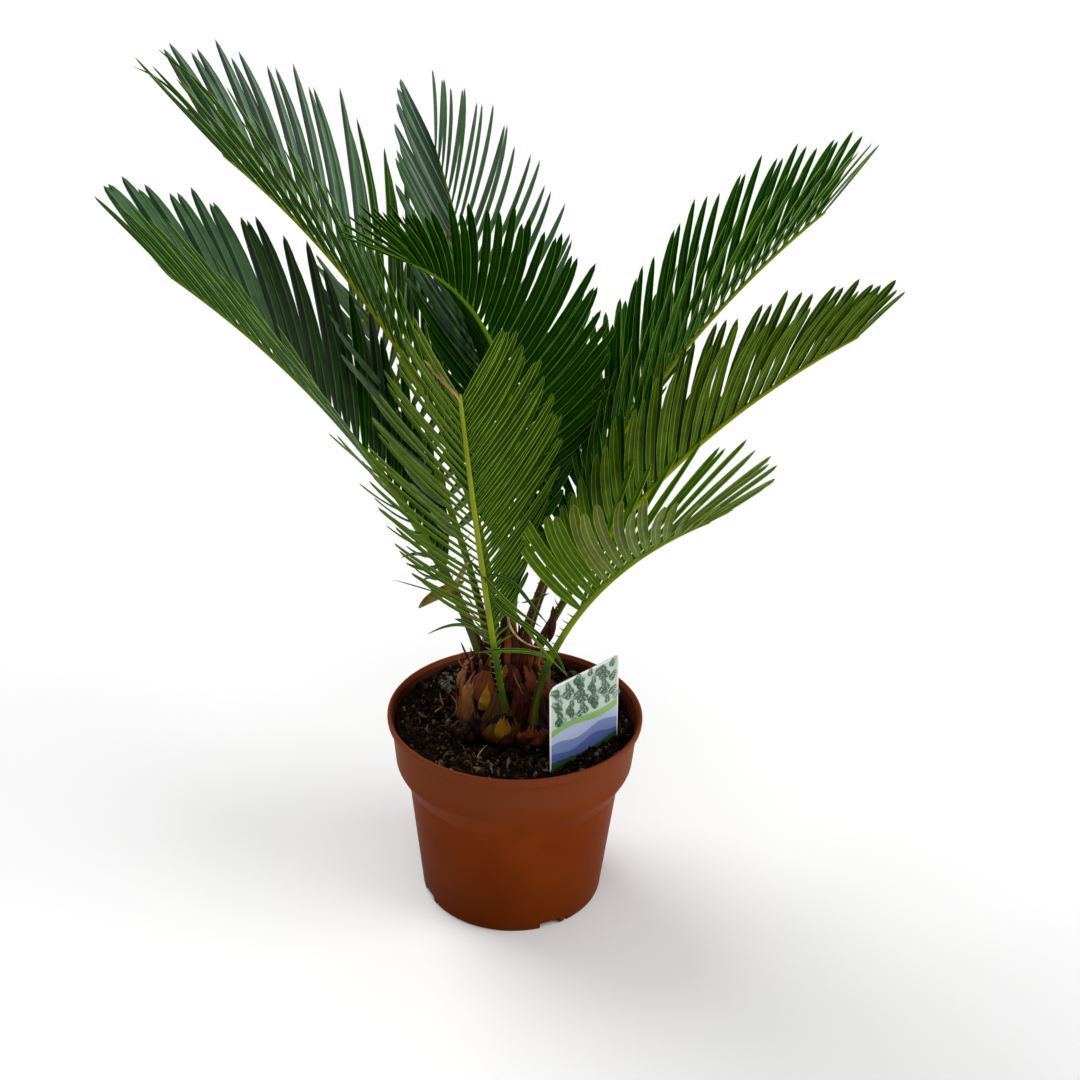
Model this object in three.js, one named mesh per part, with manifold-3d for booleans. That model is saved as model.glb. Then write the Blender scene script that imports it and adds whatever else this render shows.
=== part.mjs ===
// A young sago palm with a few offset bulbs at its foot, planted with its label in a round nursery pot.
// Millimetres, +Z up, origin at the centre of the pot's flat underside, +Y away from the viewer.

import * as THREE from 'three';
import { mergeVertices } from 'three/addons/utils/BufferGeometryUtils.js';
import Module from 'manifold-3d';

const wasm = await Module();
wasm.setup();

// Pot: outer outline from foot to rim, as radius and height
const POT_FOOT = [51.2, 0];
const POT_WALL_TOP = [58.6, 69];
const POT_STEP = [[59.6, 70.5], [64.9, 80.5], [65.6, 82.5]];
const POT_CREASE = [66.3, 90.2];
const POT_BAND_TOP = [67.6, 105.5];
const POT_RIM = [[69.6, 106.5], [70, 108], [70, 110.3], [69.4, 111]];
const POT_LIP = [[68.3, 111], [67.2, 108.2]];
const POT_WALL = 1.5;
const POT_FLOOR = 2.2;
const POT_SIDES = 40;
const DRAIN_NOTCHES = 4;
const DRAIN_FIRST_DEG = -63.5;
const DRAIN_WIDTH = 12;
const DRAIN_HEIGHT = 3.6;
const DRAIN_DEPTH = 8;

// Soil: level round the plant, heaped up against the wall at the rear left
const SOIL_LEVEL = 101;
const SOIL_FLAT_RADIUS = 41;
const SOIL_RINGS = [65.1, 59, 50];
const SOIL_BANK = { height: 5, turnDeg: 125 };
const SOIL_LUMP = { mean: 0.5, coarse: { height: 1.3, waves: 5 }, fine: { height: 0.9, waves: 11 } };

// Label: a card stood in the soil, from its left foot to its right foot
const LABEL_LEFT = [19.9, -44.9];
const LABEL_TURN_DEG = 43.3;
const LABEL_WIDTH = 49.5;
const LABEL_ABOVE = 50.5;
const LABEL_BELOW = 11;
const LABEL_LEAN_DEG = 2.5;
const LABEL_THICK = 0.6;
const LABEL_CHAMFER = 4.5;

// Stem, measured from the soil at its foot: outline as radius and height
const STEM_FOOT = [-6, 0];
const STEM_OUTLINE = [[22, 0], [24, 11], [22.5, 27], [17, 38], [9, 47], [0, 49.5]];
const STEM_SIDES = 16;
const SCALES = { count: 34, low: 3, high: 35.5, inset: 1.5, reach: 4 };
const SCALE = { width: 10, thick: 6, length: 13, leanDeg: 13 };
const SPIKES = {
  count: 12, spread: 0.6, turnDeg: 40, inner: 3, outer: 19, innerHeight: 43.5, outerHeight: 33.5,
};
const SPIKE = { width: 4.4, thick: 3.4, length: 17, leanDeg: 6 };
const GOLDEN_DEG = 137.508;

// Offset bulbs: foot and tip from the soil at the stem's foot, and the widest radius
const BULBS = [
  { name: 'offset_bulb_front', foot: [-2, -17], tip: [1, -25, 26], radius: 12 },
  { name: 'offset_bulb_right', foot: [14, -15], tip: [16, -24, 19], radius: 11 },
  { name: 'offset_bulb_left', foot: [-19, -16], tip: [-20, -17, 14], radius: 8 },
];
const BULB_OUTLINE = [[0.72, 0], [1, 0.3], [0.9, 0.58], [0.5, 0.86], [0, 1]];
const BULB_SIDES = 12;

// Ribs
const TRACE_STEPS = 60;
const RIB_FOOT_RADIUS = 3;
const RIB_TIP_RADIUS = 1.3;
const RIB_TAPER = 1.2;
const RIB_SIDES = 4;
const RIB_STEPS = 9;
const TENON = { length: 6, radius: 1.6 };

// Leaflets
const LEAFLET_ROOT_SHARE = 0.4;
const LEAFLET_WIDTH = 5.4;
const LEAFLET_PITCH_SHARE = 0.85;
const LEAFLET_THICK = 1.1;
const LEAFLET_WIDEST_AT = 0.6;
const LEAFLET_BEND = 0.16;
const SPLAY_POWER = 1.25;
const LONGEST_AT = 0.42;
const LENGTHS_TRIED = [1, 0.8, 0.62, 0.45];
const LENGTH_SPREAD = 0.12;
const SPLAY_SPREAD_DEG = 2.5;
const KEEL_SPREAD_DEG = 5;
const SALT = { frond: 0.31, row: 0.5, keel: 0.27, length: 0.53 };

// Clear space between any two pieces, and a length or share too small to count
const GAP = 0.3;
const NEARLY_NONE = 1e-3;

// A frond grows from its foot, measured from the soil at the stem's foot. Each pair is an angle in
// degrees at the foot and at the tip: rise is the rib's slope, heading its compass direction from +X,
// and roll its turn about itself. Keel is how far the two rows of leaflets are folded up, and splay
// how far they stand off the rib. The rib carries no leaflets on its bare share, and then one every
// pitch on each side: first, longest and last give their lengths, first and last as shares.
const FROND = {
  roll: [0, 0],
  keel: [40, 48],
  splay: [60, 24],
  longest: 76,
  first: 0.6,
  last: 0.5,
  bare: 0.25,
  bend: 1,
  pitch: 8.6,
};
const FRONDS = [
  {
    ...FROND, name: 'frond_front', foot: [1, -25, 25], length: 254, rise: [58, 58], heading: [262, 266],
    roll: [-36, 0], keel: [30, 32], splay: [62, 36], longest: 64, first: 0.5, last: 0.55, bare: 0.32,
    pitch: 7.6,
  },
  {
    ...FROND, name: 'frond_right_front', foot: [16, -24, 18], length: 192, rise: [88, 34],
    heading: [314, 312], roll: [-6, -6], keel: [41, 10], splay: [56, 30], longest: 74, first: 1.05,
    last: 0.42, bare: 0.42, bend: 0.6, pitch: 8,
  },
  {
    ...FROND, name: 'frond_centre', foot: [2, 2, 48], length: 244, rise: [98, 24], heading: [238, 228],
    roll: [0, -12], keel: [40, 17], splay: [58, 22], longest: 76, first: 0.8, bare: 0.37, bend: 1.9,
    pitch: 7.6,
  },
  {
    ...FROND, name: 'frond_left_high', foot: [-5, 4, 45], length: 296, rise: [88, 38],
    heading: [182, 178], roll: [-10, 12], keel: [18, 46], splay: [55, 26], longest: 102, last: 0.55,
    bare: 0.34,
  },
  {
    ...FROND, name: 'frond_left', foot: [-12, 1, 40], length: 260, rise: [72, 38], heading: [184, 194],
    roll: [16, 4], keel: [6, 46], splay: [66, 25], longest: 92, first: 0.5, last: 0.56, bare: 0.2,
  },
  {
    ...FROND, name: 'frond_right_high', foot: [8, 5, 46], length: 283, rise: [76, 34],
    heading: [15, 24], roll: [-2, -6], keel: [68, 64], splay: [42, 27], longest: 79, first: 0.5,
    last: 0.58, bare: 0.32,
  },
  {
    ...FROND, name: 'frond_right', foot: [15, 0, 41], length: 244, rise: [70, 32], heading: [-6, -2],
    roll: [0, -4], keel: [72, 66], splay: [52, 27], longest: 65, bare: 0.22,
  },
  {
    ...FROND, name: 'frond_rear_high', foot: [-1, 10, 46], length: 281, rise: [90, 39],
    heading: [114, 113], roll: [-5, 6], keel: [37, 48], splay: [68, 19], longest: 80, last: 0.58,
    bare: 0.27,
  },
  {
    ...FROND, name: 'frond_rear_left', foot: [-9, 11, 42], length: 206, rise: [74, 45],
    heading: [143, 139], roll: [3, 15], keel: [35, 41], splay: [68, 26], longest: 70, last: 0.4,
    bare: 0.3,
  },
  {
    ...FROND, name: 'frond_rear_right', foot: [10, 13, 42], length: 205, rise: [68, 24],
    heading: [48, 56], longest: 72,
  },
  {
    ...FROND, name: 'frond_rear', foot: [2, 17, 41], length: 200, rise: [66, 20],
    heading: [88, 80], longest: 70,
  },
  {
    ...FROND, name: 'frond_right_rear', foot: [15, 8, 40], length: 160, rise: [60, 22],
    heading: [32, 42], longest: 60,
  },
];

const COLOURS = {
  pot: { color: '#7c4a3a', roughness: 0.55, metalness: 0 },
  soil: { color: '#2b221c', roughness: 0.95, metalness: 0 },
  stem: { color: '#7a4f2b', roughness: 0.85, metalness: 0 },
  bulb: { color: '#5b3c26', roughness: 0.85, metalness: 0 },
  frond: { color: '#5f7a3a', roughness: 0.5, metalness: 0 },
  label: { color: '#e9ece8', roughness: 0.35, metalness: 0 },
};

const { degToRad, lerp } = THREE.MathUtils;
const UP = new THREE.Vector3(0, 0, 1);

// Shapes and solids

function lathe(outline, sides) {
  const points = outline.map(([radius, height]) => new THREE.Vector2(radius, height));
  return new THREE.LatheGeometry(points, sides).rotateX(Math.PI / 2);
}

function solid(geometry) {
  const bare = geometry.clone();
  bare.deleteAttribute('normal');
  bare.deleteAttribute('uv');
  const merged = mergeVertices(bare, 1e-4);
  return new wasm.Manifold(new wasm.Mesh({
    numProp: 3,
    vertProperties: new Float32Array(merged.attributes.position.array),
    triVerts: new Uint32Array(merged.index.array),
  }));
}

function geometryOf(body) {
  const mesh = body.getMesh();
  const geometry = new THREE.BufferGeometry();
  geometry.setAttribute('position', new THREE.BufferAttribute(new Float32Array(mesh.vertProperties), 3));
  geometry.setIndex(new THREE.BufferAttribute(new Uint32Array(mesh.triVerts), 1));
  geometry.computeVertexNormals();
  return geometry;
}

// Joins solids into one body: sealed hollows are filled and loose scraps dropped.
function fused(bodies) {
  return wasm.Manifold.union(bodies).decompose().sort((a, b) => b.volume() - a.volume())[0];
}

// Moves a unit cylinder or cone onto a limb: its height picks the section, from 0 at the foot to 1 at
// the tip, and its x and z are measured across that section.
function onLimb(geometry, section) {
  const corners = geometry.attributes.position;
  const moved = new THREE.Vector3();
  for (let i = 0; i < corners.count; i += 1) {
    const { centre, across, through } = section(corners.getY(i) + 0.5);
    moved.copy(centre).addScaledVector(across, corners.getX(i)).addScaledVector(through, corners.getZ(i));
    corners.setXYZ(i, moved.x, moved.y, moved.z);
  }
  return geometry;
}

// Pot

function potOutline() {
  const inset = ([radius, height]) => [radius - POT_WALL, height];
  const outer = [POT_FOOT, POT_WALL_TOP, ...POT_STEP, POT_CREASE, POT_BAND_TOP, ...POT_RIM];
  const inner = [POT_FOOT, POT_WALL_TOP, ...POT_STEP, POT_CREASE, POT_BAND_TOP].map(inset);
  inner[0] = [inner[0][0], POT_FLOOR];
  return { outer: [...outer, ...POT_LIP], inner };
}

function potGeometry() {
  const { outer, inner } = potOutline();
  let pot = solid(lathe([[0, 0], ...outer, ...inner.reverse(), [0, POT_FLOOR]], POT_SIDES));
  const depth = DRAIN_DEPTH + 1;
  for (let i = 0; i < DRAIN_NOTCHES; i += 1) {
    const notch = new THREE.BoxGeometry(depth, DRAIN_WIDTH, 2 * DRAIN_HEIGHT);
    notch.translate(POT_FOOT[0] + 1 - depth / 2, 0, 0);
    notch.rotateZ(degToRad(DRAIN_FIRST_DEG + (i * 360) / DRAIN_NOTCHES));
    pot = pot.subtract(solid(notch));
  }
  return geometryOf(pot);
}

// Label

function labelGeometry(grow = 0) {
  const width = LABEL_WIDTH + 2 * grow;
  const top = LABEL_ABOVE + grow;
  const bottom = -LABEL_BELOW - grow;
  const cut = LABEL_CHAMFER;
  const outline = new THREE.Shape([
    [-grow, bottom], [width - grow, bottom], [width - grow, top], [cut - grow, top], [-grow, top - cut],
  ].map(([x, y]) => new THREE.Vector2(x, y)));
  const card = new THREE.ExtrudeGeometry(outline, { depth: LABEL_THICK + 2 * grow, bevelEnabled: false });
  return card.translate(0, 0, -LABEL_THICK / 2 - grow);
}

// Stands the card up on its long edge, leaning a little to its left.
const labelPlace = new THREE.Matrix4()
  .makeTranslation(LABEL_LEFT[0], LABEL_LEFT[1], SOIL_LEVEL)
  .multiply(new THREE.Matrix4().makeRotationZ(degToRad(LABEL_TURN_DEG)))
  .multiply(new THREE.Matrix4().makeRotationX(Math.PI / 2))
  .multiply(new THREE.Matrix4().makeRotationZ(degToRad(LABEL_LEAN_DEG)));

// Soil

// Height of the soil above its level: a bank that rises outwards, most at the rear left, and lumps from
// waves round the pot that start elsewhere on each ring.
function heaped(x, y) {
  const radius = Math.hypot(x, y);
  const outward = (radius - SOIL_FLAT_RADIUS) / (SOIL_RINGS[0] - SOIL_FLAT_RADIUS);
  if (outward < NEARLY_NONE) {
    return 0;
  }
  const turn = Math.atan2(y, x);
  const rearward = (1 + Math.cos(turn - degToRad(SOIL_BANK.turnDeg))) / 2;
  const { mean, coarse, fine } = SOIL_LUMP;
  return SOIL_BANK.height * outward * rearward + mean
    + coarse.height * Math.sin(coarse.waves * turn + radius)
    + fine.height * Math.sin(fine.waves * turn + 2 * radius);
}

function soilGeometry() {
  const sides = potOutline().inner
    .filter(([, height]) => height < SOIL_LEVEL)
    .map(([radius, height], i) => [radius - GAP, height + (i === 0 ? GAP : 0)]);
  const top = [...SOIL_RINGS, SOIL_FLAT_RADIUS, 0].map((radius) => [radius, SOIL_LEVEL]);
  const filling = lathe([[0, POT_FLOOR + GAP], ...sides, ...top], POT_SIDES);
  const corners = filling.attributes.position;
  for (let i = 0; i < corners.count; i += 1) {
    if (corners.getZ(i) > SOIL_LEVEL - NEARLY_NONE) {
      corners.setZ(i, SOIL_LEVEL + heaped(corners.getX(i), corners.getY(i)));
    }
  }
  return geometryOf(solid(filling).subtract(solid(labelGeometry(GAP).applyMatrix4(labelPlace))));
}

// Ribs

// Directions of a frond at a share of its rib: along it, across it to its right, and out of its face.
function facing(frond, share) {
  const rise = degToRad(lerp(...frond.rise, share ** frond.bend));
  const heading = degToRad(lerp(...frond.heading, share));
  const roll = degToRad(lerp(...frond.roll, share));
  const outward = new THREE.Vector3(Math.cos(heading), Math.sin(heading), 0);
  const along = outward.clone().multiplyScalar(Math.cos(rise)).addScaledVector(UP, Math.sin(rise));
  const level = new THREE.Vector3(Math.sin(heading), -Math.cos(heading), 0);
  const right = level.applyAxisAngle(along, -roll);
  return { along, right, face: right.clone().cross(along) };
}

// Points of a rib, each one step on from the last in the mean of their two directions.
function traced(frond) {
  const step = frond.length / TRACE_STEPS;
  const points = [new THREE.Vector3(...frond.foot)];
  let before = facing(frond, 0).along;
  for (let i = 1; i <= TRACE_STEPS; i += 1) {
    const next = facing(frond, i / TRACE_STEPS).along;
    points.push(points[i - 1].clone().addScaledVector(before.clone().add(next), step / 2));
    before = next;
  }
  return points;
}

function ribPoint(points, share) {
  const place = share * TRACE_STEPS;
  const below = Math.min(Math.floor(place), TRACE_STEPS - 1);
  return points[below].clone().lerp(points[below + 1], place - below);
}

function ribRadius(share) {
  return RIB_TIP_RADIUS + (RIB_FOOT_RADIUS - RIB_TIP_RADIUS) * (1 - share) ** RIB_TAPER;
}

// A rib, with a thinner tenon below its foot that sits in the stem.
function ribSolid(frond, points, grow = 0) {
  const pieces = RIB_STEPS + 1;
  const geometry = new THREE.CylinderGeometry(1, 1, 1, RIB_SIDES, pieces);
  return solid(onLimb(geometry, (height) => {
    const place = height * pieces - 1;
    const share = Math.max(place, 0) / RIB_STEPS;
    const { along, right, face } = facing(frond, share);
    const centre = ribPoint(points, share);
    let radius = ribRadius(share);
    if (place < NEARLY_NONE - 1) {
      centre.addScaledVector(along, -TENON.length - grow);
      radius = TENON.radius;
    } else if (height > 1 - NEARLY_NONE) {
      centre.addScaledVector(along, grow);
    }
    return {
      centre,
      across: right.multiplyScalar(radius + grow),
      through: face.multiplyScalar(radius + grow),
    };
  }));
}

// Leaflets

// An even scatter from -0.5 to 0.5, the same each time.
function scatter(index, salt) {
  const value = index * 0.618034 + salt;
  return value - Math.floor(value) - 0.5;
}

// Share of the longest leaflet's length, at a share of the leafy stretch.
function lengthShare(frond, share) {
  if (share < LONGEST_AT) {
    return lerp(frond.first, 1, Math.sin((Math.PI / 2) * (share / LONGEST_AT)));
  }
  return lerp(frond.last, 1, Math.cos((Math.PI / 2) * ((share - LONGEST_AT) / (1 - LONGEST_AT))));
}

// Leaflets of a frond, in two rows that alternate: where each grows, its direction and its length.
function leaflets(frond, points, salt) {
  const count = Math.round((frond.length * (1 - frond.bare)) / frond.pitch);
  const found = [];
  for (let i = 0; i < count; i += 1) {
    for (const row of [1, -1]) {
      const rowSalt = salt + (row > 0 ? SALT.row : 0);
      const share = (i + 0.5 + 0.25 * row) / count;
      const { along, right, face } = facing(frond, frond.bare + (1 - frond.bare) * share);
      const splay = lerp(...frond.splay, share ** SPLAY_POWER) + SPLAY_SPREAD_DEG * scatter(i, rowSalt);
      const keel = lerp(...frond.keel, share) + KEEL_SPREAD_DEG * scatter(i, rowSalt + SALT.keel);
      const outward = right.clone().multiplyScalar(row * Math.cos(degToRad(keel)))
        .addScaledVector(face, Math.sin(degToRad(keel)));
      const direction = along.clone().multiplyScalar(Math.cos(degToRad(splay)))
        .addScaledVector(outward, Math.sin(degToRad(splay)));
      found.push({
        root: ribPoint(points, frond.bare + (1 - frond.bare) * share),
        direction,
        sweep: along.clone().addScaledVector(direction, -along.dot(direction)),
        length: frond.longest * lengthShare(frond, share)
          * (1 + LENGTH_SPREAD * scatter(i, rowSalt + SALT.length)),
        width: Math.min(LEAFLET_WIDTH, LEAFLET_PITCH_SHARE * frond.pitch * Math.sin(degToRad(splay))),
        row,
      });
    }
  }
  return found;
}

// One leaflet: a three-sided blade that bends towards the frond's tip, widest past its middle.
function leafletSolid({ root, direction, sweep, length, width, row }, cut, grow = 0) {
  const across = sweep.clone().normalize().multiplyScalar(-row);
  const through = across.clone().cross(direction);
  const reach = length * cut;
  return solid(onLimb(new THREE.ConeGeometry(1, 1, 3, 2), (height) => {
    const share = [0, LEAFLET_WIDEST_AT, 1][Math.round(2 * height)];
    const breadth = (share === 0 ? LEAFLET_ROOT_SHARE * width : width) + 2 * grow;
    const narrowed = Math.max(1 - height, NEARLY_NONE);
    const away = share * reach + grow * Math.sign(share - 0.5);
    return {
      centre: root.clone().addScaledVector(direction, away)
        .addScaledVector(sweep, LEAFLET_BEND * share * share * reach),
      across: across.clone().multiplyScalar(breadth / (Math.sqrt(3) * narrowed)),
      through: through.clone().multiplyScalar((LEAFLET_THICK + 2 * grow) / (1.5 * narrowed)),
    };
  }));
}

// Stem and bulbs

function stemRadius(height) {
  const upper = STEM_OUTLINE.findIndex(([, top]) => top >= height);
  if (upper < 1) {
    return STEM_OUTLINE[0][0];
  }
  const [r0, h0] = STEM_OUTLINE[upper - 1];
  const [r1, h1] = STEM_OUTLINE[upper];
  return lerp(r0, r1, (height - h0) / (h1 - h0));
}

// A four-sided point that stands on the stem, leaning out: an old leaf base or a bud scale.
function point({ width, thick, length, leanDeg }, turn, radius, height) {
  const out = new THREE.Vector3(Math.cos(turn), Math.sin(turn), 0);
  const side = UP.clone().cross(out);
  const along = UP.clone().applyAxisAngle(side, degToRad(leanDeg));
  const through = side.clone().cross(along).multiplyScalar(thick / 2);
  const root = out.clone().multiplyScalar(radius).setZ(height);
  return solid(onLimb(new THREE.ConeGeometry(1, 1, 4), (share) => ({
    centre: root.clone().addScaledVector(along, share * length),
    across: side.clone().multiplyScalar(width / 2),
    through,
  })));
}

function stemSolid() {
  const outline = [[0, GAP], [STEM_OUTLINE[0][0], GAP], ...STEM_OUTLINE.slice(1)];
  const pieces = [solid(lathe(outline, STEM_SIDES))];
  for (let i = 0; i < SCALES.count; i += 1) {
    const height = lerp(SCALES.low, SCALES.high, (i + 0.5) / SCALES.count);
    const radius = stemRadius(height + SCALES.reach) - SCALES.inset;
    pieces.push(point(SCALE, degToRad(i * GOLDEN_DEG), radius, height));
  }
  for (let i = 0; i < SPIKES.count; i += 1) {
    const share = ((i + 0.5) / SPIKES.count) ** SPIKES.spread;
    const radius = lerp(SPIKES.inner, SPIKES.outer, share);
    const height = lerp(SPIKES.innerHeight, SPIKES.outerHeight, share);
    pieces.push(point(SPIKE, degToRad(SPIKES.turnDeg + i * GOLDEN_DEG), radius, height));
  }
  return fused(pieces);
}

function bulbSolid({ foot, tip, radius }, grow = 0) {
  const outline = BULB_OUTLINE.map(([r, h]) => [r * (radius + grow), h * (tip[2] + grow)]);
  const geometry = lathe([[0, 0], ...outline.slice(0, -1), [0, outline.at(-1)[1]]], BULB_SIDES);
  const corners = geometry.attributes.position;
  for (let i = 0; i < corners.count; i += 1) {
    const lean = corners.getZ(i) / tip[2];
    corners.setX(i, corners.getX(i) + lerp(foot[0], tip[0], lean));
    corners.setY(i, corners.getY(i) + lerp(foot[1], tip[1], lean));
    corners.setZ(i, Math.max(corners.getZ(i), GAP - grow));
  }
  return solid(geometry);
}

// Plant, in a frame at the soil below the stem

function plantParts() {
  const toPlant = new THREE.Matrix4().makeTranslation(-STEM_FOOT[0], -STEM_FOOT[1], -SOIL_LEVEL);
  const label = solid(labelGeometry().applyMatrix4(labelPlace).applyMatrix4(toPlant));
  const grown = FRONDS.map((frond, i) => {
    const points = traced(frond);
    const leaves = leaflets(frond, points, SALT.frond * i);
    return { frond, points, rib: ribSolid(frond, points), leaves };
  });

  const sockets = grown.map(({ frond, points }) => ribSolid(frond, points, GAP));
  const bulbs = [];
  for (const bulb of BULBS) {
    const taken = [...sockets, ...bulbs.map(({ wide }) => wide)];
    const body = fused([bulbSolid(bulb).subtract(wasm.Manifold.union(taken))]);
    bulbs.push({ name: bulb.name, body, wide: bulbSolid(bulb, GAP) });
  }
  const carved = wasm.Manifold.union([...sockets, ...bulbs.map(({ wide }) => wide)]);
  const stem = fused([stemSolid().subtract(carved)]);

  const fronds = [];
  const placed = [stem, label, ...bulbs.map(({ body }) => body)].map((body) => ({ body }));
  for (const { frond, rib } of grown) {
    placed.push({ body: rib, frond });
  }
  for (const { frond, rib, leaves } of grown) {
    const others = placed.filter((piece) => piece.frond !== frond);
    const pieces = [rib];
    for (const leaf of leaves) {
      const cut = LENGTHS_TRIED.find((share) => isClear(leafletSolid(leaf, share, GAP), others));
      if (cut) {
        const body = leafletSolid(leaf, cut);
        pieces.push(body);
        placed.push({ body, frond });
      }
    }
    fronds.push({ name: frond.name, foot: frond.foot, body: fused(pieces) });
  }
  return { stem, bulbs, fronds };
}

function isClear(body, others) {
  const box = body.boundingBox();
  const near = others.filter((piece) => {
    piece.box ??= piece.body.boundingBox();
    const { min, max } = piece.box;
    return [0, 1, 2].every((axis) => min[axis] < box.max[axis] && max[axis] > box.min[axis]);
  });
  return near.every((piece) => body.intersect(piece.body).isEmpty());
}

// Scene

function mesh(name, geometry, look) {
  const made = new THREE.Mesh(geometry, new THREE.MeshStandardMaterial({ ...look, flatShading: true }));
  made.name = name;
  return made;
}

const pottedPalm = new THREE.Group();
pottedPalm.add(mesh('pot', potGeometry(), COLOURS.pot));
pottedPalm.add(mesh('soil', soilGeometry(), COLOURS.soil));

const label = mesh('plant_label', labelGeometry(), COLOURS.label);
label.applyMatrix4(labelPlace);
pottedPalm.add(label);

const plant = new THREE.Group();
plant.position.set(...STEM_FOOT, SOIL_LEVEL);
pottedPalm.add(plant);

const { stem, bulbs, fronds } = plantParts();
plant.add(mesh('stem', geometryOf(stem), COLOURS.stem));
for (const { name, body } of bulbs) {
  plant.add(mesh(name, geometryOf(body), COLOURS.bulb));
}
for (const { name, foot, body } of fronds) {
  const geometry = geometryOf(body).translate(...foot.map((value) => -value));
  const blade = mesh(name, geometry, COLOURS.frond);
  blade.position.set(...foot);
  plant.add(blade);
}

export default pottedPalm;
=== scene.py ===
"""Young sago palm in a nursery pot: the looks of every piece, made as numpy surfaces around the solid model.

Lengths in the tables and settings are millimetres unless a property's unit says otherwise, +Z is up,
the origin is the centre of the pot's flat underside and +Y points away from the camera."""

import itertools
import math

import bmesh
import bpy
import numpy as np
from bpy.props import FloatProperty, FloatVectorProperty, IntProperty, PointerProperty
from mathutils import Matrix


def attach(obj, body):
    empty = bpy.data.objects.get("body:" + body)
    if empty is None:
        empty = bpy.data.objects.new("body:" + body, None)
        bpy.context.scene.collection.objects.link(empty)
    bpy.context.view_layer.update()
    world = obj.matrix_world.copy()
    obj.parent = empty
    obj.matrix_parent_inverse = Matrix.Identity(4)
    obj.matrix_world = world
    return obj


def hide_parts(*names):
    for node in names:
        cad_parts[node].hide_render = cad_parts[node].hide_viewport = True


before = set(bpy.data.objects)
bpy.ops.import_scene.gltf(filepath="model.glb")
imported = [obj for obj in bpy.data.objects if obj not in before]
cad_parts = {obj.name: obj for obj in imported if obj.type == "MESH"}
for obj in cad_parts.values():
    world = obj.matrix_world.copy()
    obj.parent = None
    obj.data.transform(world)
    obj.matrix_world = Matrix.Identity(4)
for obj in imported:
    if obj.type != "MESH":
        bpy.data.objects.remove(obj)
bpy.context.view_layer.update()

bl_info = {
    "name": "Potted sago palm",
    "version": (1, 0, 0),
    "blender": (4, 5, 0),
    "location": "View3D > Sidebar > Palm",
    "description": "Builds a young sago palm in its nursery pot, piece by piece, and a plain stage",
    "category": "Add Mesh",
}

MM = 0.001

# Pot: outer outline from foot to rim, as radius and height
POT_FOOT = [51.2, 0]
POT_WALL_TOP = [58.6, 69]
POT_STEP = [[59.6, 70.5], [64.9, 80.5], [65.6, 82.5]]
POT_CREASE = [66.3, 90.2]
POT_BAND_TOP = [67.6, 105.5]
POT_RIM = [[69.6, 106.5], [70, 108], [70, 110.3], [69.4, 111]]
POT_LIP = [[68.3, 111], [67.2, 108.2]]
POT_WALL = 1.5
POT_FLOOR = 2.2
DRAIN_NOTCHES = 4
DRAIN_FIRST_DEG = -63.5
DRAIN_WIDTH = 12.0
DRAIN_HEIGHT = 3.6
DRAIN_INNER = 43.2

# Each notch has a narrow slit beside it: degrees between them, and shares of the notch's width and height
SLIT_APART_DEG = 11
SLIT_WIDTH = 0.16
SLIT_HEIGHT = 0.7
POT_ROUNDING = 0.7

# The pot's tones, in metres above its foot: where the rim's tone sets in, and where the painted shade at the
# foot ends
BAND_TONE_FROM = 0.078
BAND_TONE_TO = 0.094
PAINTED_FOOT_SHADE_TOP = 0.074

# Soil
SOIL_LEVEL = 101
SOIL_RADIUS = 65.1
SOIL_BANK = 5
SOIL_BANK_FROM = 41
SOIL_BANK_TURN = math.radians(125)
CLUMP_PLACE = (-37.0, 39.0)
CLUMP_RADIUS = 9.5
CLUMP_HEIGHT = 3.2

# Label
LABEL_LEFT = [19.9, -44.9]
LABEL_TURN_DEG = 43.3
LABEL_WIDTH = 49.5
LABEL_ABOVE = 50.5
LABEL_BELOW = 11
LABEL_LEAN_DEG = 2.5
LABEL_THICK = 0.6
LABEL_INK = 0.05

# Stem: its foot, and its outline as radius and height above that
STEM_FOOT = np.array([-6.0, 0.0, SOIL_LEVEL])
STEM_OUTLINE = [[22, 0], [24, 11], [22.5, 27], [17, 38], [9, 47], [0, 49.5]]
STEM_CORE_TOP = 48
STEM_CORE_SHARE = 0.92
GOLDEN = math.radians(137.508)

# Offset bulbs, measured from the stem's foot, with the looks of their shells; outline as shares of the radius
# and height
BULBS = {
    "offset_bulb_front": {
        "foot": [-2, -17, 0], "tip": [1, -25, 26], "radius": 12,
        "looks": ["yellow", "dark", "red", "olive", "dark", "olive"],
    },
    "offset_bulb_right": {
        "foot": [14, -15, 0], "tip": [16, -24, 19], "radius": 11,
        "looks": ["orange", "red", "olive", "orange", "dark"],
    },
    "offset_bulb_left": {
        "foot": [-19, -16, 0], "tip": [-20, -17, 14], "radius": 8, "looks": ["dark", "dark", "red"],
    },
}
BULB_SHELLS = 9
BULB_CORE_SHARE = 0.88
BULB_CORE_TOP = 0.96
BULB_OUTLINE = [[0.72, 0], [1, 0.3], [0.9, 0.58], [0.5, 0.86], [0, 1]]

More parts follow.
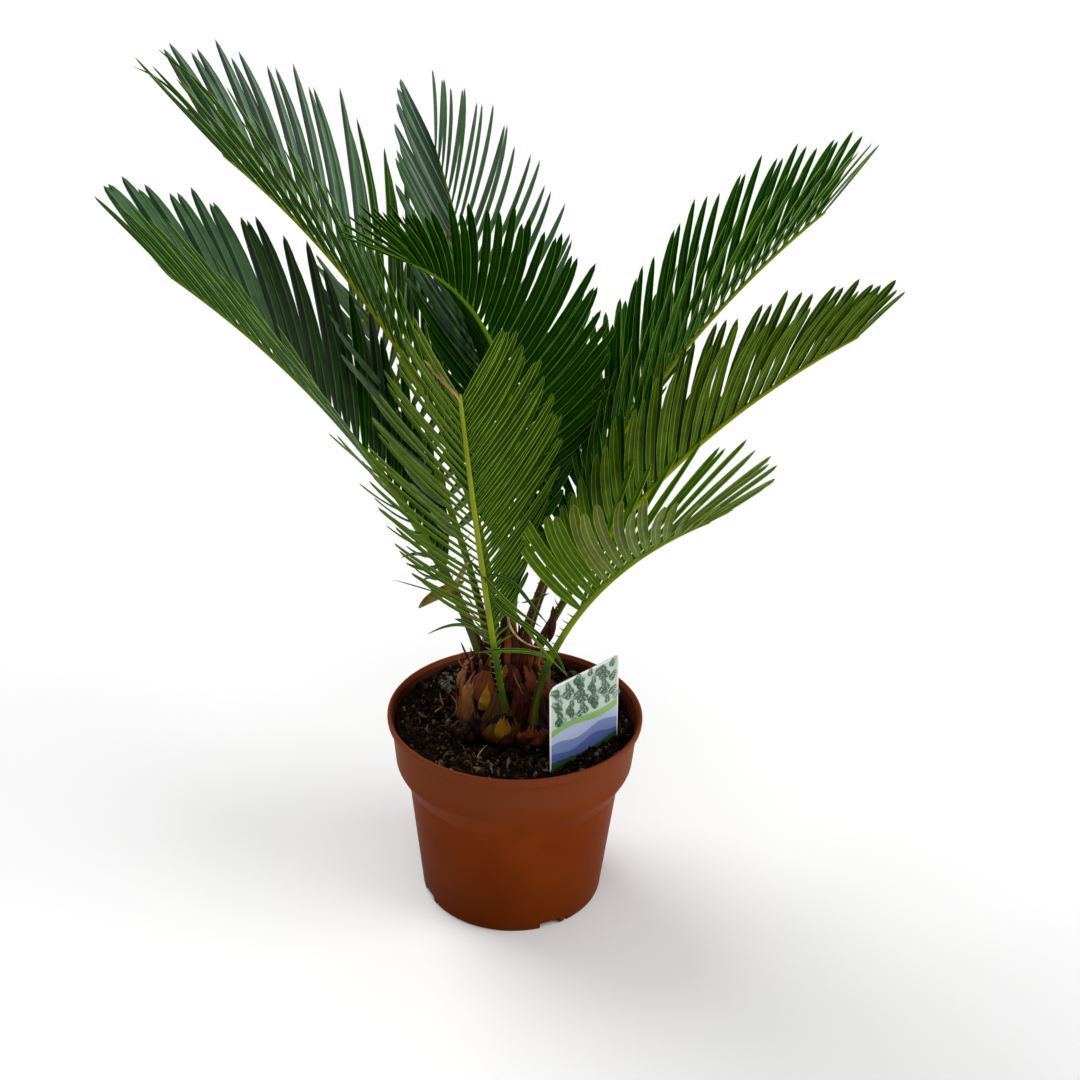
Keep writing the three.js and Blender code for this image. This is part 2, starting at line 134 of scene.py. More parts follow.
# Fronds, by the same rule and the same values as the solid model's. Each pair of rise above level, heading
# round from +X and roll of the face about the rib is in degrees at the rib's foot and tip. Keel of the
# leaflets out of the face and splay from the rib are in degrees at the first leaflet and the last. Foot is
# measured from the stem's foot, pitch is the leaflets' spacing in the solid, and finer the share of it that
# the scene has. First and last are shares of the longest leaflet, bare is the rib's share without leaflets,
# and bend the power by which its rise changes. Blunt goes from a sharp leaflet tip to a blunt one, and
# stout is a share of the rib's thickness. Row_width, twist in degrees and tints from foot to tip have one
# for the right row and one for the left
TRACE_STEPS = 60
LEAFLET_BEND = 0.16
SPLAY_POWER = 1.25
LONGEST_AT = 0.42
LENGTH_SPREAD = 0.12
SPLAY_SPREAD_DEG = 2.5
KEEL_SPREAD_DEG = 5
FROND = {
    "roll": (0, 0), "keel": (40, 48), "splay": (60, 24), "longest": 76, "first": 0.6, "last": 0.5,
    "bare": 0.25, "bend": 1, "pitch": 8.6, "finer": 0.86, "width": 6.0, "blunt": 0.5, "twist": (12, 12),
    "tints": (["deep"], ["deep"]), "rib": "deep", "stout": 1.0,
    "row_width": (1.0, 1.0),
}
FRONDS = {
    "frond_front": {
        "foot": [1, -25, 25], "length": 254, "rise": (58, 58), "heading": (262, 266), "roll": (-36, 0),
        "keel": (30, 32), "splay": (62, 36), "longest": 64, "first": 0.5, "last": 0.55, "bare": 0.32,
        "pitch": 7.6, "finer": 0.8, "width": 4.5, "row_width": (0.84, 1.22), "blunt": 0.6,
        "twist": (-4, 6), "tints": (["moss"], ["olive"]), "rib": "lime", "stout": 0.84,
    },
    "frond_right_front": {
        "foot": [16, -24, 18], "length": 192, "rise": (88, 34), "heading": (314, 312), "roll": (-6, -6),
        "keel": (41, 10), "splay": (56, 30), "longest": 74, "first": 1.05, "last": 0.42, "bare": 0.42,
        "bend": 0.6, "pitch": 8, "width": 5.6, "blunt": 1.0, "twist": (16, -12),
        "tints": (["fresh", "pale", "pale", "pale"], ["fresh", "fresh", "pale"]), "rib": "pale",
    },
    "frond_centre": {
        "foot": [2, 2, 48], "length": 244, "rise": (98, 24), "heading": (238, 228), "roll": (0, -12),
        "keel": (40, 17), "splay": (58, 22), "longest": 76, "first": 0.8, "bare": 0.37, "bend": 1.9,
        "pitch": 7.6, "finer": 0.66, "width": 5.0, "blunt": 0.6, "rib": "vivid",
        "tints": (["dusk"], ["dusk"]),
    },
    "frond_left_high": {
        "foot": [-5, 4, 45], "length": 296, "rise": (88, 38), "heading": (182, 178), "roll": (-10, 12),
        "keel": (18, 46), "splay": (55, 26), "longest": 102, "last": 0.55, "bare": 0.34,
        "width": 6.2, "row_width": (1.0, 0.62), "blunt": 0.2, "twist": (6, -16),
        "tints": (["deep", "edge", "leek", "grey", "grey"], ["deep", "edge", "edge"]), "rib": "lime",
        "stout": 1.15,
    },
    "frond_left": {
        "foot": [-12, 1, 40], "length": 260, "rise": (72, 38), "heading": (184, 194), "roll": (16, 4),
        "keel": (6, 46), "splay": (66, 25), "longest": 92, "first": 0.5, "last": 0.56, "bare": 0.2,
        "width": 7.4, "finer": 0.8, "row_width": (1.0, 0.46), "blunt": 0.35, "twist": (-18, -24),
        "tints": (["deep", "shade", "leek"], ["edge"]), "rib": "dull", "stout": 1.35,
    },
    "frond_right_high": {
        "foot": [8, 5, 46], "length": 283, "rise": (76, 34), "heading": (15, 24), "roll": (-2, -6),
        "keel": (68, 64), "splay": (42, 27), "longest": 79, "first": 0.5, "last": 0.58, "bare": 0.32,
        "width": 4.9, "row_width": (0.86, 1.0), "blunt": 0.3, "tints": (["deep", "deep", "edge"], ["deep"]),
        "rib": "lime",
    },
    "frond_right": {
        "foot": [15, 0, 41], "length": 244, "rise": (70, 32), "heading": (-6, -2), "roll": (0, -4),
        "keel": (72, 66), "splay": (52, 27), "longest": 65, "bare": 0.22,
        "width": 5.6, "blunt": 0.4, "tints": (["moss"], ["deep", "moss", "moss"]), "rib": "lime",
    },
    "frond_rear_high": {
        "foot": [-1, 10, 46], "length": 281, "rise": (90, 39), "heading": (114, 113), "roll": (-5, 6),
        "keel": (37, 48), "splay": (68, 19), "longest": 80, "last": 0.58, "bare": 0.27,
        "width": 6.4, "blunt": 0.3, "twist": (-28, 30),
        "tints": (["shade", "leek", "leek"], ["deep", "leek", "grey"]), "rib": "pale",
    },
    "frond_rear_left": {
        "foot": [-9, 11, 42], "length": 206, "rise": (74, 45), "heading": (143, 139), "roll": (3, 15),
        "keel": (35, 41), "splay": (68, 26), "longest": 70, "last": 0.4, "bare": 0.3,
        "width": 5.6, "finer": 1.0, "tints": (["mist"], ["mist"]), "rib": "pale",
    },
    "frond_rear_right": {
        "foot": [10, 13, 42], "length": 205, "rise": (68, 24), "heading": (48, 56), "longest": 72,
    },
    "frond_rear": {
        "foot": [2, 17, 41], "length": 200, "rise": (66, 20), "heading": (88, 80), "longest": 70,
    },
    "frond_right_rear": {
        "foot": [15, 8, 40], "length": 160, "rise": (60, 22), "heading": (32, 42), "longest": 60,
    },
}

# Camera, as the photograph was taken
CAMERA_PLACE = (15.4, -631.0, 495.0)
CAMERA_DOWN_DEG = 24.09
CAMERA_YAW_DEG = -0.40
CAMERA_ROLL_DEG = 1.62
FOCAL_SHARE = 1332 / 1080
SENSOR_MM = 36.0
PICTURE_SIZE = 1080

# Floor, in metres: its radius and how far it lies under the pot
FLOOR_RADIUS = 30
FLOOR_GAP = 0.0002


# Numbers

def scatter(index, salt):
    """An even scatter from -0.5 to 0.5: the fraction of 0.618 times the index plus salt, less a half."""
    value = np.asarray(index) * 0.618034 + salt
    return value - np.floor(value) - 0.5


def eased(value, low, high):
    """0 below low, 1 above high, and 3t^2 - 2t^3 between them."""
    t = np.clip((value - low) / (high - low), 0, 1)
    return t * t * (3 - 2 * t)


def lattice(cells, salt):
    """A number from 0 to 1 at each whole-numbered point: the fraction of a large multiple of a sine."""
    value = np.sin(cells @ np.array([12.9898, 78.233, 37.719]) + salt) * 43758.5453
    return value - np.floor(value)


def noise(points, size, salt=0.0):
    """Smooth noise from -1 to 1: lattice values a size apart, blended by 3t^2 - 2t^3 in all directions."""
    place = np.asarray(points, float) / size
    base = np.floor(place)
    t = eased(place - base, 0, 1)
    total = 0
    for corner in np.ndindex(2, 2, 2):
        weight = np.prod(np.where(corner, t, 1 - t), axis=-1)
        total = total + weight * lattice(base + corner, salt)
    return 2 * total - 1


def between(pair, share):
    """The value a share of the way from the first of a pair to the second."""
    return pair[0] + (pair[1] - pair[0]) * share


def polar(radius, turn, height):
    """Points from a radius, a turn a about the Z axis and a height: (r cos a, r sin a, h)."""
    return np.stack(np.broadcast_arrays(radius * np.cos(turn), radius * np.sin(turn), height), -1)


def unit(vectors):
    """Each vector divided by its length."""
    return vectors / np.maximum(np.linalg.norm(vectors, axis=-1, keepdims=True), 1e-12)


def turned(vectors, axis, angle):
    """Rodrigues' rule: v cos a + (k x v) sin a + k (k . v)(1 - cos a)."""
    cosine = np.cos(angle)[..., None]
    sine = np.sin(angle)[..., None]
    dot = np.sum(axis * vectors, axis=-1, keepdims=True)
    return vectors * cosine + np.cross(axis, vectors) * sine + axis * dot * (1 - cosine)


def random_turns(rng, count):
    """Random rotation matrices, from unit quaternions."""
    w, x, y, z = unit(rng.normal(size=(count, 4))).T
    rows = [
        [1 - 2 * (y * y + z * z), 2 * (x * y - z * w), 2 * (x * z + y * w)],
        [2 * (x * y + z * w), 1 - 2 * (x * x + z * z), 2 * (y * z - x * w)],
        [2 * (x * z - y * w), 2 * (y * z + x * w), 1 - 2 * (x * x + y * y)],
    ]
    return np.moveaxis(np.array(rows), 2, 0)


# Camera

def camera_axes():
    """The camera's own right, up and backward directions, from its yaw, its tilt and its roll."""
    down, yaw, roll = (math.radians(value) for value in (CAMERA_DOWN_DEG, CAMERA_YAW_DEG, CAMERA_ROLL_DEG))
    ahead = np.array([math.sin(yaw) * math.cos(down), math.cos(yaw) * math.cos(down), -math.sin(down)])
    right = np.array([math.cos(yaw), -math.sin(yaw), 0])
    up = np.cross(right, ahead)
    level = math.cos(roll) * right + math.sin(roll) * up
    return level, math.cos(roll) * up - math.sin(roll) * right, -ahead


def seen_at(places):
    """Points in space from (column, row, y): where the ray through that pixel meets the plane of that y."""
    column, row, depth = np.moveaxis(np.asarray(places, float), -1, 0)
    right, up, back = camera_axes()
    middle = PICTURE_SIZE / 2
    ahead = FOCAL_SHARE * PICTURE_SIZE * back
    ray = (column - middle)[..., None] * right - (row - middle)[..., None] * up - ahead
    start = np.array(CAMERA_PLACE)
    return start + ray * ((depth - start[1]) / ray[..., 1])[..., None]


# Meshes

def grid_faces(rows, columns, around):
    """Four-cornered faces of a grid of points, closed across its columns when around is true."""
    r, c = np.meshgrid(np.arange(rows - 1), np.arange(columns if around else columns - 1), indexing="ij")
    low = r * columns
    high = low + columns
    after = (c + 1) % columns
    return np.stack([low + c, low + after, high + after, high + c], -1).reshape(-1, 4)


def tip_faces(rows, ring):
    """Three-cornered faces from the last row of a closed grid of points to the one point that follows it."""
    last = (rows - 1) * ring
    step = np.arange(ring)
    return np.stack([last + step, last + (step + 1) % ring, np.full(ring, rows * ring)], -1)


def repeated(faces, copies, points_each):
    """The same faces for each of several copies of a set of points."""
    steps = (np.arange(copies) * points_each).reshape(-1, *([1] * faces.ndim))
    return (faces[None] + steps).reshape(-1, faces.shape[-1])


def make_piece(name, points, faces, materials, slots=None, node=None, tidy=False, smooth=True, uv=None):
    """A mesh object at the origin from points in millimetres and arrays of faces, which rides on the body and
    may stand for a node. Slots number the materials face by face, uv has a place for each point, and tidy
    joins points in one place and turns every face outwards."""
    mesh = bpy.data.meshes.new(name)
    corners = sum([face.tolist() for face in faces], [])
    mesh.from_pydata((np.asarray(points, float).reshape(-1, 3) * MM).tolist(), [], corners)
    for material in materials:
        mesh.materials.append(material)
    if slots is not None:
        mesh.polygons.foreach_set("material_index", np.asarray(slots, np.int32))
    if uv is not None:
        layer = mesh.uv_layers.new(name="UVMap")
        index = np.empty(len(mesh.loops), np.int32)
        mesh.loops.foreach_get("vertex_index", index)
        layer.data.foreach_set("uv", np.asarray(uv, np.float32).reshape(-1, 2)[index].ravel())
    mesh.polygons.foreach_set("use_smooth", np.full(len(mesh.polygons), smooth))
    if tidy:
        shape = bmesh.new()
        shape.from_mesh(mesh)
        bmesh.ops.remove_doubles(shape, verts=shape.verts, dist=1e-6)
        bmesh.ops.dissolve_degenerate(shape, edges=shape.edges, dist=1e-7)
        bmesh.ops.recalc_face_normals(shape, faces=shape.faces)
        shape.to_mesh(mesh)
        shape.free()
    mesh.update()
    piece = bpy.data.objects.new(name, mesh)
    bpy.context.scene.collection.objects.link(piece)
    if node:
        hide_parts(node)
    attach(piece, "root")


def blades(root, along, across, sweep, lift, lengths, widths, thicks, places, breadth, section, curve=1.0):
    """Closed blades, all at once. Down each one the centre is root + length (w along + w^(1 + curve) (sweep +
    lift)); round it stand the section's points, across by the width times the breadth at w and out by the
    thickness times the breadth's root. Each blade is rows x points, then one point at its tip. Returns points
    and faces."""
    w = places[None, :, None]
    bent = sweep[:, None] + lift[:, None]
    centre = root[:, None] + lengths[:, None, None] * (w * along[:, None] + w ** (1 + curve) * bent)
    tangent = unit(along[:, None] + (1 + curve) * np.maximum(w, 1e-6) ** curve * bent)
    side = unit(across[:, None] - tangent * np.sum(tangent * across[:, None], -1, keepdims=True))
    out = np.cross(side, tangent)
    wide = (widths[:, None] * breadth[None])[..., None, None] * section[:, :1]
    high = (thicks[:, None] * np.sqrt(breadth)[None])[..., None, None] * section[:, 1:]
    rings = centre[:, :-1, None] + (side[:, :, None] * wide + out[:, :, None] * high)[:, :-1]
    rows, ring = rings.shape[1:3]
    points = np.concatenate([rings.reshape(len(root), -1, 3), centre[:, -1:]], 1)
    parts = (grid_faces(rows, ring, True), tip_faces(rows, ring), np.arange(ring)[None, ::-1])
    return points, [repeated(part, len(root), rows * ring + 1) for part in parts]


# Shader groups and materials

BUMP_DEPTH = 0.0005

# Over which shares of the section and of the length the tone inside a rib's foot fades
INSIDE_ACROSS = (0.55, 0.45)
INSIDE_ALONG = (0.24, 0.1)


def wired(tree, kind, inputs, **settings):
    """Adds a shader node with its settings, sets each input to the value or links it to the socket given for
    it, and returns its outputs."""
    node = tree.nodes.new(f"ShaderNode{kind}")
    for name, value in settings.items():
        setattr(node, name, value)
    for name, value in inputs.items():
        if isinstance(value, bpy.types.NodeSocket):
            tree.links.new(value, node.inputs[name])
        else:
            node.inputs[name].default_value = value
    return node.outputs


def mixed(tree, share, first, second, blend="MIX"):
    """The colour a share of the way from the first to the second, or towards their product for MULTIPLY."""
    inputs = {"Factor": share, "A": first, "B": second}
    return wired(tree, "Mix", inputs, data_type="RGBA", blend_type=blend)["Result"]


def spread(tree, value, start, end, least=0.0, kind="LINEAR"):
    """A value between start and end brought to between least and 1, evenly, or smoothly for SMOOTHSTEP."""
    inputs = {"Value": value, "From Min": start, "From Max": end, "To Min": least}
    return wired(tree, "MapRange", inputs, interpolation_type=kind)["Result"]


def new_group(name, inputs, outputs):
    """An empty shader node group with sockets of these names and kinds. Returns it, the sockets that carry
    its inputs and those that take its outputs."""
    group = bpy.data.node_groups.new(name, "ShaderNodeTree")
    for way, sockets in (("INPUT", inputs), ("OUTPUT", outputs)):
        for label, kind in sockets.items():
            group.interface.new_socket(label, in_out=way, socket_type=f"NodeSocket{kind}")
    return group, group.nodes.new("NodeGroupInput").outputs, group.nodes.new("NodeGroupOutput").inputs


def mottle_group():
    """Colour that wanders between two tones, and a fine bump height. Color = mix(Dark, Light, noise at scale
    Size, brought from 0.35-0.65 to 0-1); Height = noise at six times that scale."""
    group, given, result = new_group(
        "mottle", {"Dark": "Color", "Light": "Color", "Size": "Float"}, {"Color": "Color", "Height": "Float"})
    place = wired(group, "TexCoord", {})["Object"]
    coarse = wired(group, "TexNoise", {"Vector": place, "Scale": given["Size"], "Detail": 5})["Fac"]
    share = spread(group, coarse, 0.35, 0.65)
    group.links.new(mixed(group, share, given["Dark"], given["Light"]), result["Color"])
    finer = wired(group, "Math", {0: given["Size"], 1: 6.0}, operation="MULTIPLY")["Value"]
    fine = wired(group, "TexNoise", {"Vector": place, "Scale": finer, "Detail": 3})["Fac"]
    group.links.new(fine, result["Height"])
    return group


def fibre_group():
    """Streaks that run the length of a piece: Shade = noise over 26 u and 1.6 v of its UV map plus 90, 90 and
    60 times its place in metres, brought from 0.34-0.6 to between 1 - Depth and 1."""
    group, given, result = new_group("fibre", {"Depth": "Float"}, {"Shade": "Float"})
    length = wired(group, "UVMap", {})["UV"]
    place = wired(group, "TexCoord", {})["Object"]
    stretch = wired(group, "VectorMath", {0: length, 1: (26, 1.6, 1)}, operation="MULTIPLY")["Vector"]
    shift = wired(group, "VectorMath", {0: place, 1: (90, 90, 60), 2: stretch}, operation="MULTIPLY_ADD")
    streak = wired(group, "TexNoise", {"Vector": shift["Vector"], "Scale": 1.0, "Detail": 4})["Fac"]
    least = wired(group, "Math", {0: 1.0, 1: given["Depth"]}, operation="SUBTRACT")["Value"]
    group.links.new(spread(group, streak, 0.34, 0.6, least), result["Shade"])
    return group


def shared(name, build):
    """The node group of that name, built the first time it is asked for."""
    return bpy.data.node_groups.get(name) or build()


def tone(colour):
    """A colour with its alpha."""
    return (*colour, 1.0)


def mottled(name, dark, light, size, roughness, bump=0.1, gloss=0.5):
    """A Principled material whose colour wanders between two tones, with a fine bump."""
    material = bpy.data.materials.new(name)
    material.use_nodes = True
    tree = material.node_tree
    shader = tree.nodes["Principled BSDF"].inputs
    shader["Roughness"].default_value = roughness
    shader["Specular IOR Level"].default_value = gloss
    inputs = {"Dark": tone(dark), "Light": tone(light), "Size": size}
    look = wired(tree, "Group", inputs, node_tree=shared("mottle", mottle_group))
    tree.links.new(look["Color"], shader["Base Color"])
    if bump:
        inputs = {"Strength": bump, "Distance": BUMP_DEPTH, "Height": look["Height"]}
        tree.links.new(wired(tree, "Bump", inputs)["Normal"], shader["Normal"])
    return material


def toned_along(material, stops, own_share, inside=None, fibres=0.0):
    """Colours a piece by the length carried in its UV map: mix(ramp of stops, own mottled colour, own share).
    Where inside is given, it covers the half of the section that faces up, fading out over the foot's length.
    Fibres is how far the streaks along it darken it."""
    tree = material.node_tree
    base = tree.nodes["Principled BSDF"].inputs["Base Color"]
    place = wired(tree, "SeparateXYZ", {"Vector": wired(tree, "UVMap", {})["UV"]})
    ramp = wired(tree, "ValToRGB", {"Fac": place["Y"]})["Color"]
    elements = ramp.node.color_ramp.elements
    for position, colour in stops:
        element = {0.0: elements[0], 1.0: elements[-1]}.get(position) or elements.new(position)
        element.color = tone(colour)
    result = mixed(tree, own_share, ramp, base.links[0].from_socket)
    if inside is not None:
        around = spread(tree, place["X"], *INSIDE_ACROSS, kind="SMOOTHSTEP")
        upward = spread(tree, place["Y"], *INSIDE_ALONG, kind="SMOOTHSTEP")
        both = wired(tree, "Math", {0: around, 1: upward}, operation="MULTIPLY")["Value"]
        result = mixed(tree, both, result, tone(inside))
    if fibres:
        shade = wired(tree, "Group", {"Depth": fibres}, node_tree=shared("fibre", fibre_group))["Shade"]
        result = mixed(tree, 1.0, result, shade, "MULTIPLY")
    tree.links.new(result, base)


def linear(red, green, blue):
    """A colour given as it shows on a screen, from 0 to 255, as linear light."""
    value = np.array([red, green, blue]) / 255
    return tuple(np.where(value <= 0.04045, value / 12.92, ((value + 0.055) / 1.055) ** 2.4))


# Plain looks: dark and light tone as they show on a screen, scale of their grain, roughness, bump and gloss
GRAINED = {
    # Inner wall: a darker tone than the body, painted shade
    "pot_inside_painted_shade": ((58, 22, 10), (70, 28, 14), 26, 0.6, 0.05, 0.06),
    "earth": ((5, 2, 1), (22, 14, 9), 260, 0.95, 0.9, 0.06),
    "crumb_brown": ((12, 7, 4), (54, 35, 24), 300, 0.95, 0.6, 0.06),
    "crumb_tan": ((60, 44, 30), (116, 92, 66), 300, 0.9, 0.4, 0.08),
    "crumb_grey": ((50, 44, 38), (112, 104, 96), 300, 0.9, 0.4, 0.08),
    "moss": ((44, 44, 8), (84, 80, 22), 400, 0.95, 0.5, 0.1),
    "stem_core": ((14, 5, 2), (44, 16, 6), 320, 0.85, 0.9, 0.1),
    "wool": ((60, 26, 10), (112, 62, 26), 300, 0.95, 0.0, 0.1),
    "spine": ((84, 110, 30), (120, 140, 44), 120, 0.4, 0.0, 0.5),
    "dry_olive": ((78, 66, 16), (136, 116, 52), 160, 0.7, 0.1, 0.1),
    "dry_beige": ((130, 104, 60), (186, 162, 112), 160, 0.8, 0.1, 0.1),
    "dry_brown": ((84, 48, 24), (134, 88, 50), 160, 0.8, 0.1, 0.1),
    "dry_grey": ((86, 84, 70), (128, 126, 108), 160, 0.8, 0.1, 0.1),
    "dry_dark": ((14, 12, 8), (36, 30, 22), 160, 0.8, 0.1, 0.1),
}


def grained(name):
    """The material of that name from the table of plain looks."""
    dark, light, *rest = GRAINED[name]
    return mottled(name, linear(*dark), linear(*light), *rest)


# Pot

def rounded(outline, radius, steps=4):
    """The outline with a quadratic curve for each inner corner, which starts and ends a radius away."""
    corners = np.asarray(outline, float)
    found = [corners[:1]]
    for before, corner, after in zip(corners[:-2], corners[1:-1], corners[2:]):
        into, away = before - corner, after - corner
        near = min(radius, 0.45 * np.linalg.norm(into), 0.45 * np.linalg.norm(away))
        start, end = corner + unit(into) * near, corner + unit(away) * near
        t = np.linspace(0, 1, steps + 1)[:, None]
        found.append((1 - t) ** 2 * start + 2 * t * (1 - t) * corner + t**2 * end)
    return np.vstack([*found, corners[-1:]])


def lathe_points(outline, turns):
    """Outline points (radius, height) carried round the Z axis."""
    return polar(outline[:, 0, None], turns, outline[:, 1, None])


def pot_outlines():
    """The pot's outer outline with its lip, and the inner one, which lies a wall's thickness inside."""
    wall = [POT_FOOT, POT_WALL_TOP, *POT_STEP, POT_CREASE, POT_BAND_TOP]
    inner = [[radius - POT_WALL, height] for radius, height in wall]
    inner[0][1] = POT_FLOOR
    return [*wall, *POT_RIM, *POT_LIP], inner


def pot_surface(settings):
    """The pot's closed outline carried round, with its foot lifted at each drain notch and slit. Returns
    points, faces, and for each face whether it lies inside the pot."""
    outer, inner = pot_outlines()
    notch_top = [between((POT_FOOT[0], POT_WALL_TOP[0]), DRAIN_HEIGHT / POT_WALL_TOP[1]), DRAIN_HEIGHT]
    corners = [[0, 0], [DRAIN_INNER, 0], *outer[:1], notch_top, *outer[1:], *inner[::-1], [0, POT_FLOOR]]
    outline = rounded(corners, POT_ROUNDING)
    half = math.degrees(DRAIN_WIDTH / 2 / POT_FOOT[0])
    middles = DRAIN_FIRST_DEG + np.arange(DRAIN_NOTCHES) * 360 / DRAIN_NOTCHES
    slits = (middles + SLIT_APART_DEG, SLIT_WIDTH * half, SLIT_HEIGHT * DRAIN_HEIGHT)
    windows = [(middles, half, DRAIN_HEIGHT), slits]
    edges = [m + side * (w + step) for m, w, _ in windows for side in (-1, 1) for step in (-0.1, 0.1)]
    turns = np.unique(np.concatenate([np.arange(0, 360, 360 / settings.sides), *edges]) % 360)
    points = lathe_points(outline, np.radians(turns))
    radius, height = outline[:, 0, None], points[..., 2]
    lift = np.zeros(len(turns))
    for middle, width, top in windows:
        apart = np.abs((turns[:, None] - middle + 180) % 360 - 180).min(1)
        lift = np.maximum(lift, np.where(apart < width, top, 0))
    low = (radius > DRAIN_INNER + 1) & (height < DRAIN_HEIGHT)
    points[..., 2] = np.where(low, np.maximum(height, lift), height)
    rim = int(np.argmax(outline[:, 1]))
    inside = (np.arange(len(outline) - 1) > rim) & (outline[:-1, 1] <= POT_LIP[-1][1] + 0.5)
    return points, [grid_faces(*points.shape[:2], True)[:, ::-1]], np.repeat(inside, len(turns))


def pot_material(settings):
    """Moulded plastic: a warm brown, darker towards the foot by painted shade, and the rim's band in its own
    tone.
    """
    material = mottled(
        "pot_plastic", settings.body, settings.body_light, 26.0, settings.roughness, bump=0.05, gloss=0.012)
    tree = material.node_tree
    base = tree.nodes["Principled BSDF"].inputs["Base Color"]
    height = wired(tree, "SeparateXYZ", {"Vector": wired(tree, "TexCoord", {})["Object"]})["Z"]
    above = spread(tree, height, BAND_TONE_FROM, BAND_TONE_TO)
    banded = mixed(tree, above, base.links[0].from_socket, tone(settings.band))
    # Painted shade: the wall's colour darkens towards the foot
    shade = spread(tree, height, 0.0, PAINTED_FOOT_SHADE_TOP, settings.foot_painted_shade, "SMOOTHSTEP")
    tree.links.new(mixed(tree, 1.0, banded, shade, "MULTIPLY"), base)
    return material


# Soil

def soil_height(x, y):
    """Height of the soil's surface: its level, a bank that rises outwards and most at the rear left, and
    noise of three sizes, stronger near the wall. Bank = height x share outwards x (1 + cos(turn - its turn))
    / 2."""
    radius = np.hypot(x, y)
    rearward = (1 + np.cos(np.arctan2(y, x) - SOIL_BANK_TURN)) / 2
    bank = SOIL_BANK * np.clip((radius - SOIL_BANK_FROM) / (SOIL_RADIUS - SOIL_BANK_FROM), 0, 1) * rearward
    flat = np.stack([x, y, np.zeros_like(x)], -1)
    outer = eased(radius, 34, 56)
    coarse = noise(flat, 13, 1.0) * (0.5 + 1.7 * outer)
    middle = noise(flat, 5.5, 2.0) * (0.8 + 0.5 * outer)
    fine = noise(flat, 2.1, 3.0) * 0.55
    return SOIL_LEVEL + bank + coarse + middle + fine - 0.2


def soil_surface(settings):
    """Rings from the centre to the wall at the soil's height, then down the wall and back to the centre."""
    radii = np.concatenate([[0], np.linspace(1.2, SOIL_RADIUS, settings.rings)])
    turns = np.linspace(0, 2 * math.pi, settings.sectors, endpoint=False)
    x, y = radii[:, None] * np.cos(turns), radii[:, None] * np.sin(turns)
    top = np.stack([x, y, soil_height(x, y)], -1)
    inner = pot_outlines()[1]
    wall = [[radius - 0.3, height] for radius, height in inner if POT_FLOOR < height < SOIL_LEVEL - 4]
    foot = [[wall[0][0] - 7, POT_FLOOR + 0.3], [0, POT_FLOOR + 0.3]]
    points = np.concatenate([top, lathe_points(np.array([*wall[::-1], *foot]), turns)])
    return points, [grid_faces(*points.shape[:2], True)]


def lump_shape():
    """A twenty-sided ball's corners and faces."""
    golden = (1 + math.sqrt(5)) / 2
    corners = []
    for a in (-1, 1):
        for b in (-golden, golden):
            corners += [[0, a, b], [a, b, 0], [b, 0, a]]
    corners = unit(np.array(corners, float))
    apart = np.linalg.norm(corners[:, None] - corners[None], axis=-1)
    near = (apart > 0.1) & (apart < 1.1)
    faces = []
    for i, j, k in itertools.combinations(range(len(corners)), 3):
        if near[i, j] and near[j, k] and near[i, k]:
            turn = np.dot(np.cross(corners[j] - corners[i], corners[k] - corners[i]), corners[i])
            faces.append([i, j, k] if turn > 0 else [i, k, j])
    return corners, np.array(faces)


def lumps(rng, centres, sizes, stretch):
    """Rough lumps: a twenty-sided ball with its corners pushed in or out, stretched, turned and put in place.
    Returns points, faces and the number of the lump that each face is on."""
    corners, faces = lump_shape()
    count = len(centres)
    shapes = corners[None] * rng.uniform(0.72, 1.2, (count, len(corners), 1)) * stretch[:, None]
    shapes = np.einsum("nij,nkj->nki", random_turns(rng, count), shapes)
    points = centres[:, None] + shapes * sizes[:, None, None]
    return points, repeated(faces, count, len(corners)), np.repeat(np.arange(count), len(faces))


def strew(name, rng, places, size, raised, stretch, looks, shares):
    """Makes a piece of rough lumps on the soil, each raised by its height, with looks dealt out by shares."""
    x, y = places
    centres = np.stack([x, y, soil_height(x, y) + raised], -1)
    points, faces, owner = lumps(rng, centres, size, stretch)
    kind = rng.choice(len(looks), len(x), p=shares)
    make_piece(name, points, [faces], looks, slots=kind[owner], smooth=False)


def ring_places(rng, count, inner, outer, centre=(0.0, 0.0)):
    """Places spread evenly by area over a ring."""
    radius = np.sqrt(rng.uniform(inner**2, outer**2, count))
    turn = rng.uniform(0, 2 * math.pi, count)
    return centre[0] + radius * np.cos(turn), centre[1] + radius * np.sin(turn)


def strands(rng, starts, ends, sag, wander, radii, steps=9, sides=4):
    """Thin bent strands: a straight line from start to end, plus sin(pi t) times the sag upwards, and
    sin(pi t) and 0.6 sin(2 pi t) times random steps by the wander. The radius falls by 1 - 0.75 t^2."""
    t = np.linspace(0, 1, steps)[None, :, None]
    wave = np.sin(math.pi * t)
    wide = wander[:, None, None]
    line = starts[:, None] * (1 - t) + ends[:, None] * t
    line = line + wave * sag[:, None, None] * np.array([0, 0, 1.0])
    bow, weave = (rng.normal(size=(len(starts), 1, 3)) for _ in range(2))
    line = line + wave * (bow * wide) + np.sin(2 * math.pi * t) * weave * wide * 0.6
    tangent = unit(np.gradient(line, axis=1))
    side = unit(np.cross(tangent, np.array([0.31, 0.17, 0.94])))
    out = np.cross(side, tangent)
    turn = np.arange(sides) * 2 * math.pi / sides
    taper = (1 - 0.75 * np.linspace(0, 1, steps) ** 2)[None, :, None, None]
    ring = side[:, :, None] * np.cos(turn)[:, None] + out[:, :, None] * np.sin(turn)[:, None]
    points = line[:, :, None] + ring * radii[:, None, None, None] * taper
    caps = np.stack([np.arange(sides)[::-1], (steps - 1) * sides + np.arange(sides)])
    parts = (grid_faces(steps, sides, True), caps)
    return points, [repeated(part, len(starts), steps * sides) for part in parts]


# Papery shells and scales on the stem and bulbs

